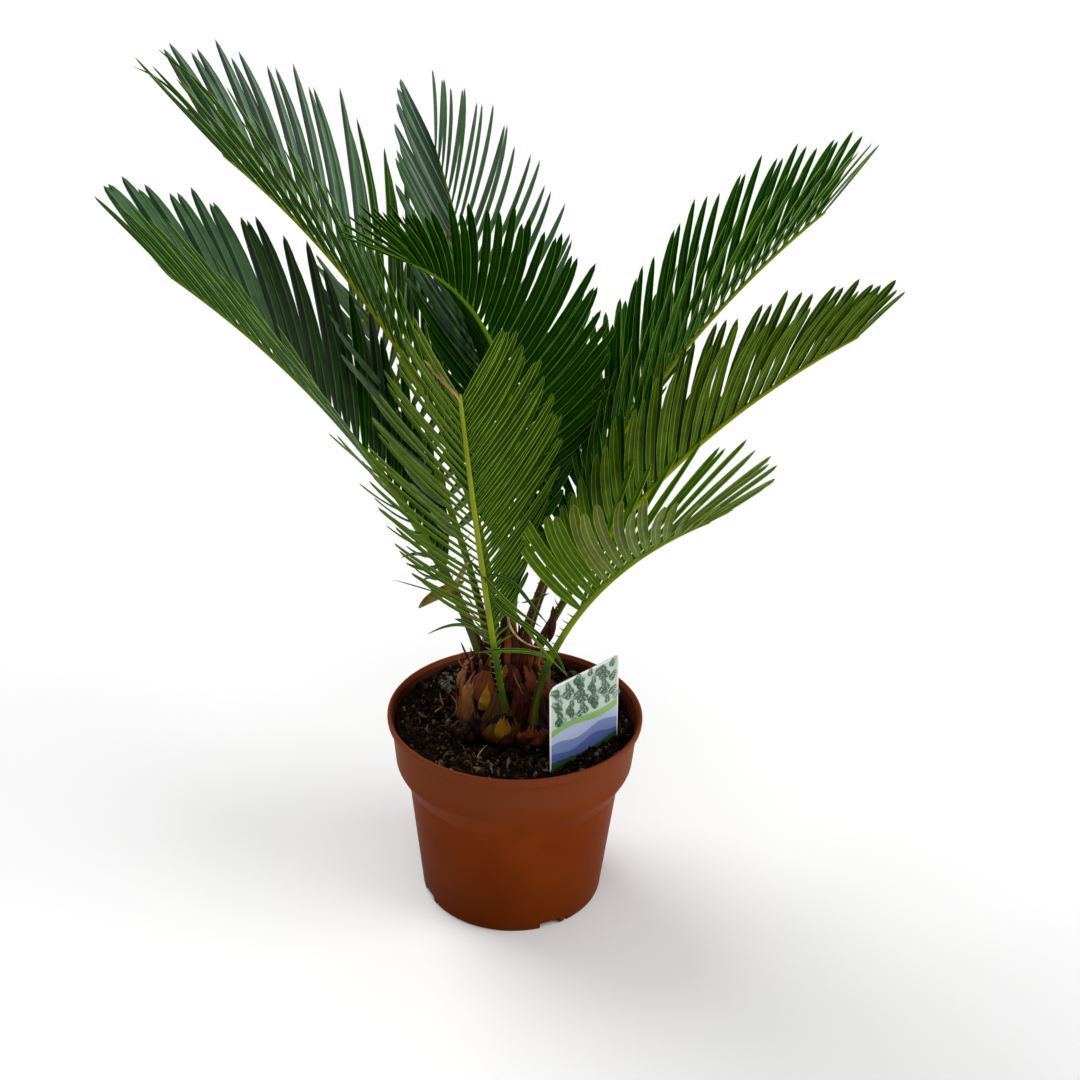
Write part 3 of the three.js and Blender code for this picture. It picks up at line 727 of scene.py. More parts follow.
SHELL_ROWS = 13
SHELL_COLUMNS = 15
SHELL_THICK = 0.7
SCALE_SECTION = np.array([
    [-1, 0], [-0.6, 0.62], [0, 1], [0.6, 0.62], [1, 0], [0.55, -0.5], [0, -0.7], [-0.55, -0.5],
])
SCALE_PLACES = np.array([0, 0.16, 0.34, 0.52, 0.7, 0.86, 1])
SCALE_BREADTH = np.array([0.86, 1, 1, 0.9, 0.7, 0.4, 0])

# Old leaf bases that the picture shows: middle and half width in degrees round the stem, low and high in
# millimetres above the soil, millimetres off the stem, flare at the rim, and look
STEM_SHELLS = [
    (-152, 24, 0, 26, 1.6, 1.2, "orange"), (-141, 17, 10, 36, 2.6, 0.6, "tan"),
    (-122, 25, 26, 46, 2.2, 2.6, "orange"), (-113, 9, 22, 37, 2.6, 0.2, "yellow"),
    (-124, 18, 2, 20, 2.0, 0.6, "dark"), (-94, 25, 8, 33, 2.4, 0.6, "olive"),
    (-64, 22, 12, 38, 1.6, 1.0, "red"), (-72, 17, 32, 50, 1.2, 1.8, "red"),
    (-40, 22, 2, 29, 2.2, 1.6, "red"), (-24, 20, 20, 43, 2.2, 3.2, "orange"),
    (-12, 20, 0, 22, 2.4, 1.4, "tan"), (-46, 13, 30, 47, 2.8, 2.0, "orange"),
    (-96, 12, 0, 14, 2.6, 0.4, "orange"), (-172, 22, 22, 42, 2.0, 2.8, "tan"),
]


def outline_radius(outline, height):
    """Radius of an outline at a height, by straight lines between its points."""
    table = np.asarray(outline, float)
    return np.interp(height, table[:, 1], table[:, 0])


def shells(rng, outline, lean, *rows):
    """Torn shells that hug an outline. Over each, a runs from -1 to 1 across it and b from 0 to 1 up it:
    turn = middle + half a (1 - 0.5 b^2), height = low + (high - low)(b (1 - 0.25 a^2) + a ragged rim),
    radius = outline + lift + 1.8 (1 - a^2) sin(0.8 pi b) + flare b^2.5 + noise. The inner face is a thickness
    in, and the whole leans by its height. Rows are middle, half, low, high, lift and flare, each with a value
    for every shell. Returns points, faces, UV places and the number of faces on each shell."""
    a = np.linspace(-1, 1, SHELL_COLUMNS)[None, None]
    b = np.linspace(0, 1, SHELL_ROWS)[None, :, None]
    turn, half, low, high, lift, flare = (np.asarray(row, float)[:, None, None] for row in rows)
    count = len(turn)
    ragged = rng.uniform(-1, 1, (count, 1, SHELL_COLUMNS)) * b**4 * 0.12
    ragged = ragged + np.sin(7 * a + np.arange(count)[:, None, None] * 2.4) * b**3 * 0.1
    angle = turn + half * a * (1 - 0.5 * b**2)
    height = low + (high - low) * (b * (1 - 0.25 * a**2) + ragged)
    swell = 1.8 * (1 - a**2) * np.sin(0.8 * math.pi * b)
    radius = outline_radius(outline, height) + lift + swell + flare * b**2.5
    place = polar(radius, angle, height)
    radius = radius + 0.8 * noise(place * [1, 1, 0.3], 2.0, 5.0) + 1.1 * noise(place, 6.0, 6.0)
    outer = polar(radius, angle, height)
    inner = outer - polar(SHELL_THICK, angle, 0)
    ring = np.concatenate([outer, inner[:, :, ::-1]], 2)
    ring = ring + ring[..., 2:] * lean
    around = 2 * SHELL_COLUMNS
    each = SHELL_ROWS * around
    step = np.arange(SHELL_COLUMNS - 1)
    end = np.stack([step, step + 1, around - 2 - step, around - 1 - step], -1)
    faces = np.concatenate([grid_faces(SHELL_ROWS, around, True), end, end + each - around])
    across = np.concatenate([a[0, 0], a[0, 0, ::-1]]) / 2 + 0.5
    uv = np.stack(np.broadcast_arrays(across, np.broadcast_to(b, (count, SHELL_ROWS, 1))), -1)
    return ring.reshape(-1, 3), repeated(faces, count, each), uv.reshape(-1, 2), len(faces)


# Fronds

def facing(frond, share):
    """Directions at shares of the rib: along it, to its right and out of its face. Heading and roll go evenly
    from their first to their last value, and rise by the share to the power of bend. The right side is the
    level one turned about the rib by minus roll."""
    rise = np.radians(between(frond["rise"], share ** frond["bend"]))
    heading = np.radians(between(frond["heading"], share))
    roll = np.radians(between(frond["roll"], share))
    along = polar(np.cos(rise), heading, np.sin(rise))
    level = np.stack([np.sin(heading), -np.cos(heading), 0 * share], -1)
    right = turned(level, along, -roll)
    return along, right, np.cross(right, along)


def traced(frond):
    """Points of a rib, each one step on from the last in the mean of their two directions."""
    along, _, _ = facing(frond, np.linspace(0, 1, TRACE_STEPS + 1))
    steps = (along[1:] + along[:-1]) / 2 * frond["length"] / TRACE_STEPS
    return STEM_FOOT + np.array(frond["foot"], float) + np.vstack([np.zeros(3), np.cumsum(steps, 0)])


def rib_point(points, share):
    """A rib's point at a share of its length, by straight lines between its traced points."""
    place = np.asarray(share) * TRACE_STEPS
    return np.stack([np.interp(place, np.arange(TRACE_STEPS + 1), points[:, axis]) for axis in range(3)], -1)


def rib_radius(settings, frond, share):
    """Tip + (foot - tip) (1 - share)^0.8, with a swelling e^(-share / 0.035) at the foot."""
    slim = between((settings.rib_tip, settings.rib_foot * frond["stout"]), (1 - share) ** 0.8)
    return slim + settings.rib_swelling * np.exp(-share / 0.035)


RIB_BEFORE = 5
RIB_SECTION = np.array([
    [1, 0], [0.88, 0.48], [0.5, 0.78], [0.16, 0.62], [-0.16, 0.62], [-0.5, 0.78], [-0.88, 0.48],
    [-1, 0], [-0.78, -0.66], [-0.3, -1], [0.3, -1], [0.78, -0.66],
])


def rib_surface(settings, frond, points):
    """A grooved section carried along the rib; its points are the section times the radius, right and out.
    It starts a little before the rib's own foot. Returns points, faces and UV places."""
    share = np.concatenate([[0], np.linspace(0.0, 1, 64)])
    along, right, face = facing(frond, share)
    centre = rib_point(points, share)
    centre[0] -= along[0] * RIB_BEFORE
    radius = rib_radius(settings, frond, share)[:, None, None]
    flat = RIB_SECTION[:, 0, None] * right[:, None] + RIB_SECTION[:, 1, None] * face[:, None]
    surface = centre[:, None] + radius * flat
    rows, ring = surface.shape[:2]
    tip = centre[-1] + along[-1] * radius[-1, 0, 0] * 2
    uv = np.stack(np.broadcast_arrays(np.arange(ring)[None] / ring, share[:, None]), -1).reshape(-1, 2)
    tips = tip_faces(rows, ring)[:, [0, 2, 1]]
    faces = [grid_faces(rows, ring, True)[:, ::-1], tips, np.arange(ring)[None]]
    return np.vstack([surface.reshape(-1, 3), tip]), faces, np.vstack([uv, [0.5, 1]])


def length_share(frond, share):
    """Share of the longest leaflet's length: a quarter sine up to it, then a quarter cosine to the last."""
    rising = between((frond["first"], 1), np.sin(math.pi / 2 * share / LONGEST_AT))
    falling = between((frond["last"], 1), np.cos(math.pi / 2 * (share - LONGEST_AT) / (1 - LONGEST_AT)))
    return np.where(share < LONGEST_AT, rising, falling)


def leaflets(settings, frond, salt):
    """Every leaflet of a frond, in two rows that alternate: place on the rib, direction, sweep and length.
    Direction = cos(splay) along + sin(splay) (cos(keel) sideways + sin(keel) outwards)."""
    pitch = frond["pitch"] * frond["finer"] * settings.spacing
    count = round(frond["length"] * (1 - frond["bare"]) / pitch)
    index = np.repeat(np.arange(count), 2)
    row = np.tile([1.0, -1.0], count)
    row_salt = salt + 0.5 * (row > 0)
    share = (index + 0.5 + 0.25 * row) / count
    place = frond["bare"] + (1 - frond["bare"]) * share
    along, right, face = facing(frond, place)
    splay = between(frond["splay"], share**SPLAY_POWER) + SPLAY_SPREAD_DEG * scatter(index, row_salt)
    splay = np.radians(splay)[:, None]
    keel = between(frond["keel"], share) + KEEL_SPREAD_DEG * scatter(index, row_salt + 0.27)
    keel = np.radians(keel)[:, None]
    outward = row[:, None] * np.cos(keel) * right + np.sin(keel) * face
    direction = np.cos(splay) * along + np.sin(splay) * outward
    sweep = along - direction * np.sum(along * direction, -1, keepdims=True)
    uneven = 1 + LENGTH_SPREAD * scatter(index, row_salt + 0.53)
    length = frond["longest"] * length_share(frond, share) * uneven
    return {"share": share, "place": place, "row": row, "index": index, "salt": row_salt,
            "direction": direction, "sweep": sweep, "length": length}


# Across a leaflet: edge, margin, blade, midrib and back, above; then the same below
MARGIN = 0.87
MIDRIB = 0.11
LEAFLET_SECTION = np.array([
    [-1, -0.9], [-MARGIN, -0.35], [-MIDRIB, 0.75], [MIDRIB, 0.75], [MARGIN, -0.35], [1, -0.9],
    [MARGIN, -1.0], [MIDRIB, -0.45], [-MIDRIB, -0.45], [-MARGIN, -1.0],
])
# The upper face's dark and light halves are painted shade and painted light, as if lit from one side
UPPER_BANDS = ["margin", "dark", "midrib", "light", "margin"]
LOWER_BANDS = ["margin", "lower", "midrib", "lower", "margin"]
LEAFLET_PLACES = np.array([0, 0.04, 0.12, 0.3, 0.5, 0.66, 0.79, 0.89, 0.96, 1])
SHARP_BREADTH = np.array([0.3, 0.46, 0.7, 0.96, 1, 0.93, 0.76, 0.52, 0.26, 0])
BLUNT_BREADTH = np.array([0.3, 0.46, 0.72, 0.97, 1, 1, 0.97, 0.87, 0.62, 0])


def leaflet_surface(settings, frond, points, salt):
    """All the leaflets of a frond as closed blades, bent towards the tip and turned by their row's twist and
    a scatter."""
    leaf = leaflets(settings, frond, salt)
    root = rib_point(points, leaf["place"])
    across = unit(leaf["sweep"]) * -leaf["row"][:, None]
    right_twist, left_twist = frond["twist"]
    even = np.where(leaf["row"] > 0, right_twist, left_twist)
    twist = np.radians(even + settings.twist * scatter(leaf["index"], leaf["salt"] + 0.11)) * leaf["row"]
    across = turned(across, leaf["direction"], twist)
    face = np.cross(across, leaf["direction"])
    bend = LEAFLET_BEND * (1 + 0.5 * scatter(leaf["index"], leaf["salt"] + 0.71))[:, None]
    droop = face * 0.05 * scatter(leaf["index"], leaf["salt"] + 0.37)[:, None]
    right_width, left_width = frond["row_width"]
    widths = settings.width * frond["width"] / 2 * (1 - 0.18 * leaf["share"])
    widths = widths * np.where(leaf["row"] > 0, right_width, left_width)
    breadth = between((SHARP_BREADTH, BLUNT_BREADTH), frond["blunt"])
    return blades(
        root, leaf["direction"], across, leaf["sweep"] * bend, droop, leaf["length"], widths,
        np.full(len(root), settings.thick), LEAFLET_PLACES, breadth, LEAFLET_SECTION, curve=1.5,
    )


# Settings

class PotSettings(bpy.types.PropertyGroup):
    """Sizes and colours of the pot."""
    sides: IntProperty(name="Sides", description="Steps round the pot", default=224, min=32)
    roughness: FloatProperty(
        name="Roughness", description="How matt the plastic is", subtype="FACTOR", default=0.42, min=0, max=1)
    # How dark the painted shade at the pot's foot is
    foot_painted_shade: FloatProperty(
        name="Foot shade", description="Share of its colour that the wall has at the foot", subtype="FACTOR",
        default=0.66, min=0, max=1)
    body: FloatVectorProperty(
        name="Body", description="Colour of the wall", subtype="COLOR", default=linear(108, 42, 6),
        min=0, max=1)
    body_light: FloatVectorProperty(
        name="Body light", description="Lighter tone of the wall", subtype="COLOR",
        default=linear(120, 50, 10), min=0, max=1)
    band: FloatVectorProperty(
        name="Band", description="Colour of the rim's band", subtype="COLOR", default=linear(113, 54, 28),
        min=0, max=1)


class SoilSettings(bpy.types.PropertyGroup):
    """Grain of the soil."""
    rings: IntProperty(name="Rings", description="Rings of points over the surface", default=80, min=8)
    sectors: IntProperty(name="Sectors", description="Points in each ring", default=300, min=16)
    crumbs: IntProperty(name="Crumbs", description="Small lumps on the surface", default=4400, min=0)
    chips: IntProperty(name="Chips", description="Flat bits of bark and straw", default=300, min=0)
    clump: IntProperty(
        name="Clump", description="Lumps of the grey clump at the rear left", default=150, min=0)
    fibres: IntProperty(name="Fibres", description="Thin roots and straws", default=130, min=0)
    seed: IntProperty(name="Seed", description="Start of the random numbers", default=11)


class StemSettings(bpy.types.PropertyGroup):
    """Old leaf bases, bud scales and wool of the stem and its offsets."""
    shells: IntProperty(
        name="Leaf bases", description="Old leaf bases on the stem's far side", default=15, min=1)
    spikes: IntProperty(name="Bud scales", description="Pointed scales in the crown", default=46, min=1)
    wool: IntProperty(name="Wool", description="Brown hairs among the bases", default=700, min=0)
    seed: IntProperty(name="Seed", description="Start of the random numbers", default=5)


class FrondSettings(bpy.types.PropertyGroup):
    """Ribs and leaflets."""
    spacing: FloatProperty(
        name="Spacing", description="Share of each frond's leaflet spacing", default=1.0, min=0.5)
    width: FloatProperty(
        name="Leaflet width", description="Share of each frond's leaflet width", default=1.0, min=0.2)
    thick: FloatProperty(name="Leaflet fold", description="Height of a leaflet's face, in mm", default=0.5)
    twist: FloatProperty(
        name="Twist spread", description="Degrees over which leaflets turn unevenly", default=9)
    rib_foot: FloatProperty(name="Rib foot", description="Radius of a rib near its foot, in mm", default=2.15)
    rib_tip: FloatProperty(name="Rib tip", description="Radius of a rib at its tip, in mm", default=0.7)
    rib_swelling: FloatProperty(
        name="Swelling", description="Added to the radius at the foot, in mm", default=0.9)


class LabelSettings(bpy.types.PropertyGroup):
    """Colours of the label's card."""
    card: FloatVectorProperty(
        name="Card", description="Colour of the bare card", subtype="COLOR", default=linear(226, 230, 226),
        min=0, max=1)


class StageSettings(bpy.types.PropertyGroup):
    """Floor, lights and surroundings."""
    floor: FloatVectorProperty(
        name="Floor", description="Colour of the floor", subtype="COLOR", default=(0.9, 0.9, 0.9),
        min=0, max=1)
    sky: FloatProperty(
        name="Surroundings", description="Strength of the white surroundings", default=0.4, min=0)
    left: FloatProperty(
        name="Left light", description="Strength of the light from the rear left", default=1.7, min=0)
    right: FloatProperty(
        name="Right light", description="Strength of the light from the right", default=1.8, min=0)
    front: FloatProperty(
        name="Front light", description="Strength of the light from above in front", default=0.6, min=0)
    spread: FloatProperty(
        name="Softness", description="Angle that each light fills in the sky", subtype="ANGLE",
        default=math.radians(42), min=0)


# Operators

class BuildPot(bpy.types.Operator):
    """Make the pot"""
    bl_idname = "palm.pot"
    bl_label = "Pot"

    def execute(self, context):
        settings = context.scene.palm_pot
        points, faces, inside = pot_surface(settings)
        # Faces inside the pot take the inner wall's darker material, painted shade
        looks = [pot_material(settings), grained("pot_inside_painted_shade")]
        make_piece("pot_shell", points, faces, looks, slots=inside.astype(int), node="pot", tidy=True)
        return {"FINISHED"}


class BuildSoil(bpy.types.Operator):
    """Make the soil, its crumbs, chips and fibres"""
    bl_idname = "palm.soil"
    bl_label = "Soil"

    def execute(self, context):
        settings = context.scene.palm_soil
        rng = np.random.default_rng(settings.seed)
        names = ("earth", "crumb_brown", "crumb_tan", "crumb_grey", "moss")
        earth, brown, tan, grey, moss = (grained(name) for name in names)
        points, faces = soil_surface(settings)
        make_piece("soil_bed", points, faces, [earth], node="soil", tidy=True)

        count = settings.crumbs
        places = ring_places(rng, count, 12, SOIL_RADIUS - 1.4)
        size = rng.gamma(2.4, 0.3, count).clip(0.28, 2.2)
        strew("soil_crumbs", rng, places, size, 0.35 * size, rng.uniform(0.6, 1.2, (count, 3)),
              [earth, brown, tan, grey, moss], [0.52, 0.37, 0.06, 0.03, 0.02])

        count = settings.chips
        places = ring_places(rng, count, 18, SOIL_RADIUS - 4)
        size = rng.uniform(0.8, 2.2, count)
        length, width = rng.uniform(1.4, 3.0, count), rng.uniform(0.5, 1.0, count)
        stretch = np.stack([length, width, np.full(count, 0.25)], -1)
        strew("soil_chips", rng, places, size, 0.5 * size, stretch, [brown, tan, grey], [0.78, 0.15, 0.07])

        count = settings.clump
        places = ring_places(rng, count, 0, CLUMP_RADIUS, CLUMP_PLACE)
        size = rng.uniform(0.9, 2.5, count)
        apart = np.hypot(places[0] - CLUMP_PLACE[0], places[1] - CLUMP_PLACE[1])
        raised = CLUMP_HEIGHT * (1 - apart / CLUMP_RADIUS) * rng.uniform(0.2, 1, count)
        strew("soil_clump", rng, places, size, raised, rng.uniform(0.6, 1.2, (count, 3)),
              [earth, brown, grey], [0.25, 0.2, 0.55])

        # Fibres
        count = settings.fibres
        x, y = ring_places(rng, count, 22, SOIL_RADIUS - 12)
        starts = np.stack([x, y, soil_height(x, y) + 0.4], -1)
        turn = rng.uniform(0, 2 * math.pi, count)
        reach = rng.uniform(3, 11, count)
        x, y = x + reach * np.cos(turn), y + reach * np.sin(turn)
        ends = np.stack([x, y, soil_height(x, y) + rng.uniform(0.2, 2.4, count)], -1)
        sag = rng.uniform(0.3, 2.0, count)
        points, faces = strands(rng, starts, ends, sag, np.full(count, 0.9), rng.uniform(0.12, 0.32, count))
        make_piece("soil_fibres", points, faces, [tan])
        return {"FINISHED"}


# Torn leaf bases: tones of their foot, middle and rim, and how far streaks darken them
BASE_LOOKS = {
    "orange": ((40, 12, 2), (122, 56, 14), (164, 100, 46), 0.7),
    "tan": ((70, 32, 8), (148, 92, 42), (184, 136, 82), 0.7),
    "yellow": ((92, 50, 2), (150, 108, 6), (110, 70, 10), 0.4),
    "olive": ((90, 50, 4), (78, 48, 8), (92, 62, 20), 0.7),
    "red": ((24, 6, 2), (72, 24, 9), (112, 56, 26), 0.85),
    "dark": ((10, 5, 2), (34, 20, 10), (120, 84, 52), 0.7),
}
SHELL_LOOKS = list(BASE_LOOKS)


def papery(name):
    """Torn leaf base: one tone at its foot, its own over most of it and another at the rim, with streaks."""
    *tones, fibres = BASE_LOOKS[name]
    foot, middle, rim = (linear(*colour) for colour in tones)
    material = mottled(f"base_{name}", foot, middle, 260.0, 0.65, bump=0.8, gloss=0.12)
    toned_along(material, ((0.0, foot), (0.4, middle), (0.88, middle), (1.0, rim)), 0.45, fibres=fibres)
    return material


class BuildStem(bpy.types.Operator):
    """Make the stem, its old leaf bases, bud scales and wool"""
    bl_idname = "palm.stem"
    bl_label = "Stem"

    def execute(self, context):
        settings = context.scene.palm_stem
        rng = np.random.default_rng(settings.seed)
        looks = {name: papery(name) for name in SHELL_LOOKS}

        # Core under the leaf bases
        share = np.linspace(0, 1, 40)
        radius = outline_radius(STEM_OUTLINE, share * STEM_OUTLINE[-1][1]) * STEM_CORE_SHARE
        outline = np.stack([radius, share * STEM_CORE_TOP - 1.0], -1)
        outline[-1, 0] = 0
        outline = np.vstack([[0, -1], outline])
        turns = np.linspace(0, 2 * math.pi, 120, endpoint=False)
        core = lathe_points(outline, turns)
        relief = noise(core, 5, 7.0) * 1.1 + noise(core * [1, 1, 0.4], 1.8, 8.0) * 0.7
        radial = core * np.array([1, 1, 0])
        share = eased(np.linalg.norm(radial, axis=-1), 1, 6)
        core = core + unit(radial) * relief[..., None] * share[..., None]
        make_piece("stem_core", core + STEM_FOOT, [grid_faces(*core.shape[:2], True)], [grained("stem_core")],
                   node="stem", tidy=True)

        # Leaf bases of the table, then others round the far side
        index = np.arange(settings.shells)
        share = (index + 0.5) / settings.shells
        low = 30 * (1 - share)
        turn = np.radians(-5 + 170 * (0.5 + scatter(index, 0.2)))
        half = np.radians(20 + 8 * scatter(index, 0.4))
        lift, flare = 1.6 + 1.2 * scatter(index, 0.5), 1.6 + 2.4 * scatter(index, 0.1)
        hidden = np.stack([turn, half, low, low + 19 + 9 * scatter(index, 0.7), lift, flare])
        shown = np.array([row[:6] for row in STEM_SHELLS], float).T
        shown[:2] = np.radians(shown[:2])
        kinds = [SHELL_LOOKS.index(row[6]) for row in STEM_SHELLS]
        others = rng.choice(len(SHELL_LOOKS), settings.shells, p=[0.3, 0.22, 0.04, 0.12, 0.2, 0.12])
        kinds = np.concatenate([kinds, others])
        points, faces, uv, each = shells(rng, STEM_OUTLINE, np.zeros(3), *np.concatenate([shown, hidden], 1))
        make_piece("leaf_bases", points + STEM_FOOT, [faces], list(looks.values()),
                   slots=np.repeat(kinds, each), tidy=True, uv=uv)

        # Bud scales, a golden angle apart and further out one by one
        index = np.arange(settings.spikes)
        turn = index * GOLDEN + 0.9
        radius = 3 + 14 * ((index + 0.5) / settings.spikes) ** 0.6
        up, out = np.array([0, 0, 1.0]), polar(1.0, turn, 0.0)
        side = np.cross(up, out)
        height = np.interp(radius, [0, 9, 17, 22], [42, 38, 31, 24]) + 3 * scatter(index, 0.5)
        root = STEM_FOOT + out * radius[:, None] + up * height[:, None]
        lean = np.radians(2 + 14 * radius / 18 + 12 * scatter(index, 0.3))[:, None]
        sweep = side * (0.3 * scatter(index, 0.4))[:, None]
        lengths, widths = 19 + 14 * scatter(index, 0.7), 2.5 + 2.0 * scatter(index, 0.15)
        points, faces = blades(
            root, up * np.cos(lean) + out * np.sin(lean), side, sweep, out * -0.1, lengths, widths,
            np.full(len(index), 0.8), SCALE_PLACES, SCALE_BREADTH, SCALE_SECTION,
        )
        kinds = rng.choice(3, settings.spikes, p=[0.4, 0.15, 0.45])
        slots = np.concatenate([np.repeat(kinds, len(part) // settings.spikes) for part in faces])
        share = np.append(np.repeat(SCALE_PLACES[:-1], len(SCALE_SECTION)), 1)
        uv = np.tile(np.stack([share * 0 + 0.5, share], -1), (settings.spikes, 1))
        make_piece("bud_scales", points, faces, [looks[name] for name in ("orange", "tan", "red")],
                   slots=slots, uv=uv)

        # Wool
        count = settings.wool
        turn = rng.uniform(0, 2 * math.pi, count)
        height = rng.uniform(4, 44, count)
        radius = outline_radius(STEM_OUTLINE, height) * rng.uniform(0.92, 1.08, count)
        starts = STEM_FOOT + polar(radius, turn, height)
        reach = rng.uniform(3, 9, (count, 1))
        ends = starts + unit(rng.normal(size=(count, 3)) + up * 0.9) * reach
        points, faces = strands(rng, starts, ends, np.zeros(count), np.full(count, 0.7),
                                rng.uniform(0.08, 0.17, count), steps=6, sides=3)
        make_piece("stem_wool", points, faces, [grained("wool")])
        return {"FINISHED"}


class BuildBulbs(bpy.types.Operator):
    """Make the offset bulbs and their shells"""
    bl_idname = "palm.bulbs"
    bl_label = "Offset bulbs"

    def execute(self, context):
        rng = np.random.default_rng(context.scene.palm_stem.seed + 1)
        looks = [bpy.data.materials[f"base_{name}"] for name in SHELL_LOOKS]
        for name, bulb in BULBS.items():
            foot, tip = np.array(bulb["foot"], float), np.array(bulb["tip"], float)
            place, rise = STEM_FOOT + foot, tip[2]
            lean = np.append((tip - foot)[:2], 0) / rise
            outline = np.array(BULB_OUTLINE) * [bulb["radius"], rise]
            share = np.linspace(0, 1, 24)
            radius = outline_radius(outline, share * rise) * BULB_CORE_SHARE
            turns = np.linspace(0, 2 * math.pi, 48, endpoint=False)
            core = np.stack([radius, share * rise * BULB_CORE_TOP], -1)
            body = lathe_points(np.vstack([[0, 0], core]), turns)
            body = body + body[..., 2:] * lean
            body = body + unit(body * [1, 1, 0]) * noise(body, 4, 4.0)[..., None] * 0.4
            body[..., 2] = np.maximum(body[..., 2], -0.5)
            faces = [grid_faces(*body.shape[:2], True)]
            dark = [looks[SHELL_LOOKS.index("dark")]]
            make_piece(f"{name}_core", body + place, faces, dark, node=name, tidy=True)

            index = np.arange(BULB_SHELLS)
            share = (index + 0.5) / BULB_SHELLS
            low = rise * 0.36 * (1 - share)
            high = low + rise * (0.5 + 0.12 * scatter(index, 0.7))
            points, faces, uv, each = shells(
                rng, outline, lean, np.radians(-90) + index * GOLDEN, np.radians(44 - 12 * share), low, high,
                -0.8 + 0 * index, 0.6 + 0.8 * scatter(index, 0.2),
            )
            kinds = [SHELL_LOOKS.index(bulb["looks"][number % len(bulb["looks"])]) for number in index]
            make_piece(f"{name}_shells", points + place, [faces], looks, slots=np.repeat(kinds, each),
                       tidy=True, uv=uv)
        return {"FINISHED"}


# Leaf tones in the order of their parts, as they show on a screen, then their gloss
# Dark and light are the two halves of the upper face, in painted shade and painted light
LEAF_PARTS = ["dark", "light", "lower", "margin", "midrib"]
TINTS = {
    "deep": ((10, 48, 1), (26, 74, 4), (32, 66, 5), (124, 164, 30), (46, 94, 10), 0.05),
    "dusk": ((5, 40, 1), (16, 64, 2), (22, 56, 3), (100, 144, 20), (34, 82, 6), 0.02),
    "grey": ((30, 54, 34), (70, 102, 72), (72, 100, 60), (44, 72, 46), (104, 130, 102), 0.42),
    "leek": ((24, 52, 24), (58, 96, 54), (54, 90, 44), (86, 124, 76), (84, 120, 74), 0.3),
    "shade": ((12, 34, 6), (38, 66, 24), (40, 68, 22), (74, 108, 48), (70, 100, 50), 0.26),
    # Edge: its bright margins are partly the leaflets' pale edges and partly painted light from behind
    "edge": ((12, 44, 2), (32, 74, 10), (28, 64, 8), (138, 170, 76), (76, 116, 30), 0.08),
    # Mist: a pale tone, partly the leaves' own and partly painted light on leaves that lie in shade
    "mist": ((66, 94, 56), (104, 134, 92), (102, 128, 86), (124, 150, 104), (140, 162, 120), 0.3),
    "olive": ((24, 50, 1), (38, 66, 2), (33, 54, 0), (112, 148, 28), (100, 132, 22), 0.04),
    "moss": ((34, 58, 3), (52, 80, 7), (60, 82, 7), (122, 150, 40), (100, 126, 30), 0.06),
    "pale": ((64, 88, 8), (92, 112, 22), (84, 98, 24), (128, 156, 34), (120, 134, 60), 0.12),
    "fresh": ((52, 86, 3), (78, 112, 8), (64, 90, 4), (136, 166, 26), (94, 128, 18), 0.06),
}

# Ribs: tone near the foot and tone over the rest
RIB_LOOKS = {
    "deep": ((58, 74, 8), (100, 132, 14)),
    "dull": ((62, 70, 30), (92, 120, 20)),
    "vivid": ((60, 92, 4), (98, 142, 6)),
    "lime": ((34, 70, 8), (130, 142, 2)),
    "pale": ((40, 68, 8), (120, 138, 14)),
}


def leaf_materials(tint):
    """Leaf looks of one tint: upper face halves in painted shade and painted light, lower face, edges,
    midrib.
    """
    *tones, gloss = TINTS[tint]
    made = []
    for part, colour in zip(LEAF_PARTS, tones):
        middle = np.array(linear(*colour))
        roughness = 0.4 if part in ("dark", "light") else 0.6
        made.append(mottled(f"leaf_{tint}_{part}", middle * 0.86, np.minimum(middle * 1.2, 1), 140.0,
                            roughness, bump=0.25, gloss=gloss))
    return made


def rib_material(name):
    """Brown at a rib's foot and red brown inside it, then green, then yellow green over the rest."""
    foot, tip = (linear(*colour) for colour in RIB_LOOKS[name])
    material = mottled(f"rib_{name}", foot, tip, 60.0, 0.45, gloss=0.08)
    stops = ((0.0, linear(66, 40, 16)), (0.05, foot), (0.2, foot), (0.34, tip), (1.0, tip))
    toned_along(material, stops, 0.25, inside=linear(70, 34, 20))
    return material


class BuildFronds(bpy.types.Operator):
    """Make every frond's rib, spines and leaflets"""
    bl_idname = "palm.fronds"
    bl_label = "Fronds"

    def execute(self, context):
        settings = context.scene.palm_frond
        ribs = {name: rib_material(name) for name in RIB_LOOKS}
        leaves = {tint: leaf_materials(tint) for tint in TINTS}
        thorn = grained("spine")
        for number, (name, given) in enumerate(FRONDS.items()):
            frond = {**FROND, **given}
            points = traced(frond)
            rib, faces, uv = rib_surface(settings, frond, points)
            make_piece(f"{name}_rib", rib, faces, [ribs[frond["rib"]]], node=name, uv=uv)

            solid, faces = leaflet_surface(settings, frond, points, 0.31 * number)
            slots, used = leaflet_slots(len(solid), frond["tints"])
            looks = sum([leaves[tint] for tint in used], [])
            make_piece(f"{name}_leaflets", solid, faces, looks, slots=slots, node=name)

            solid, faces = spine_surface(settings, frond, points, number)
            make_piece(f"{name}_spines", solid, faces, [thorn])
        return {"FINISHED"}


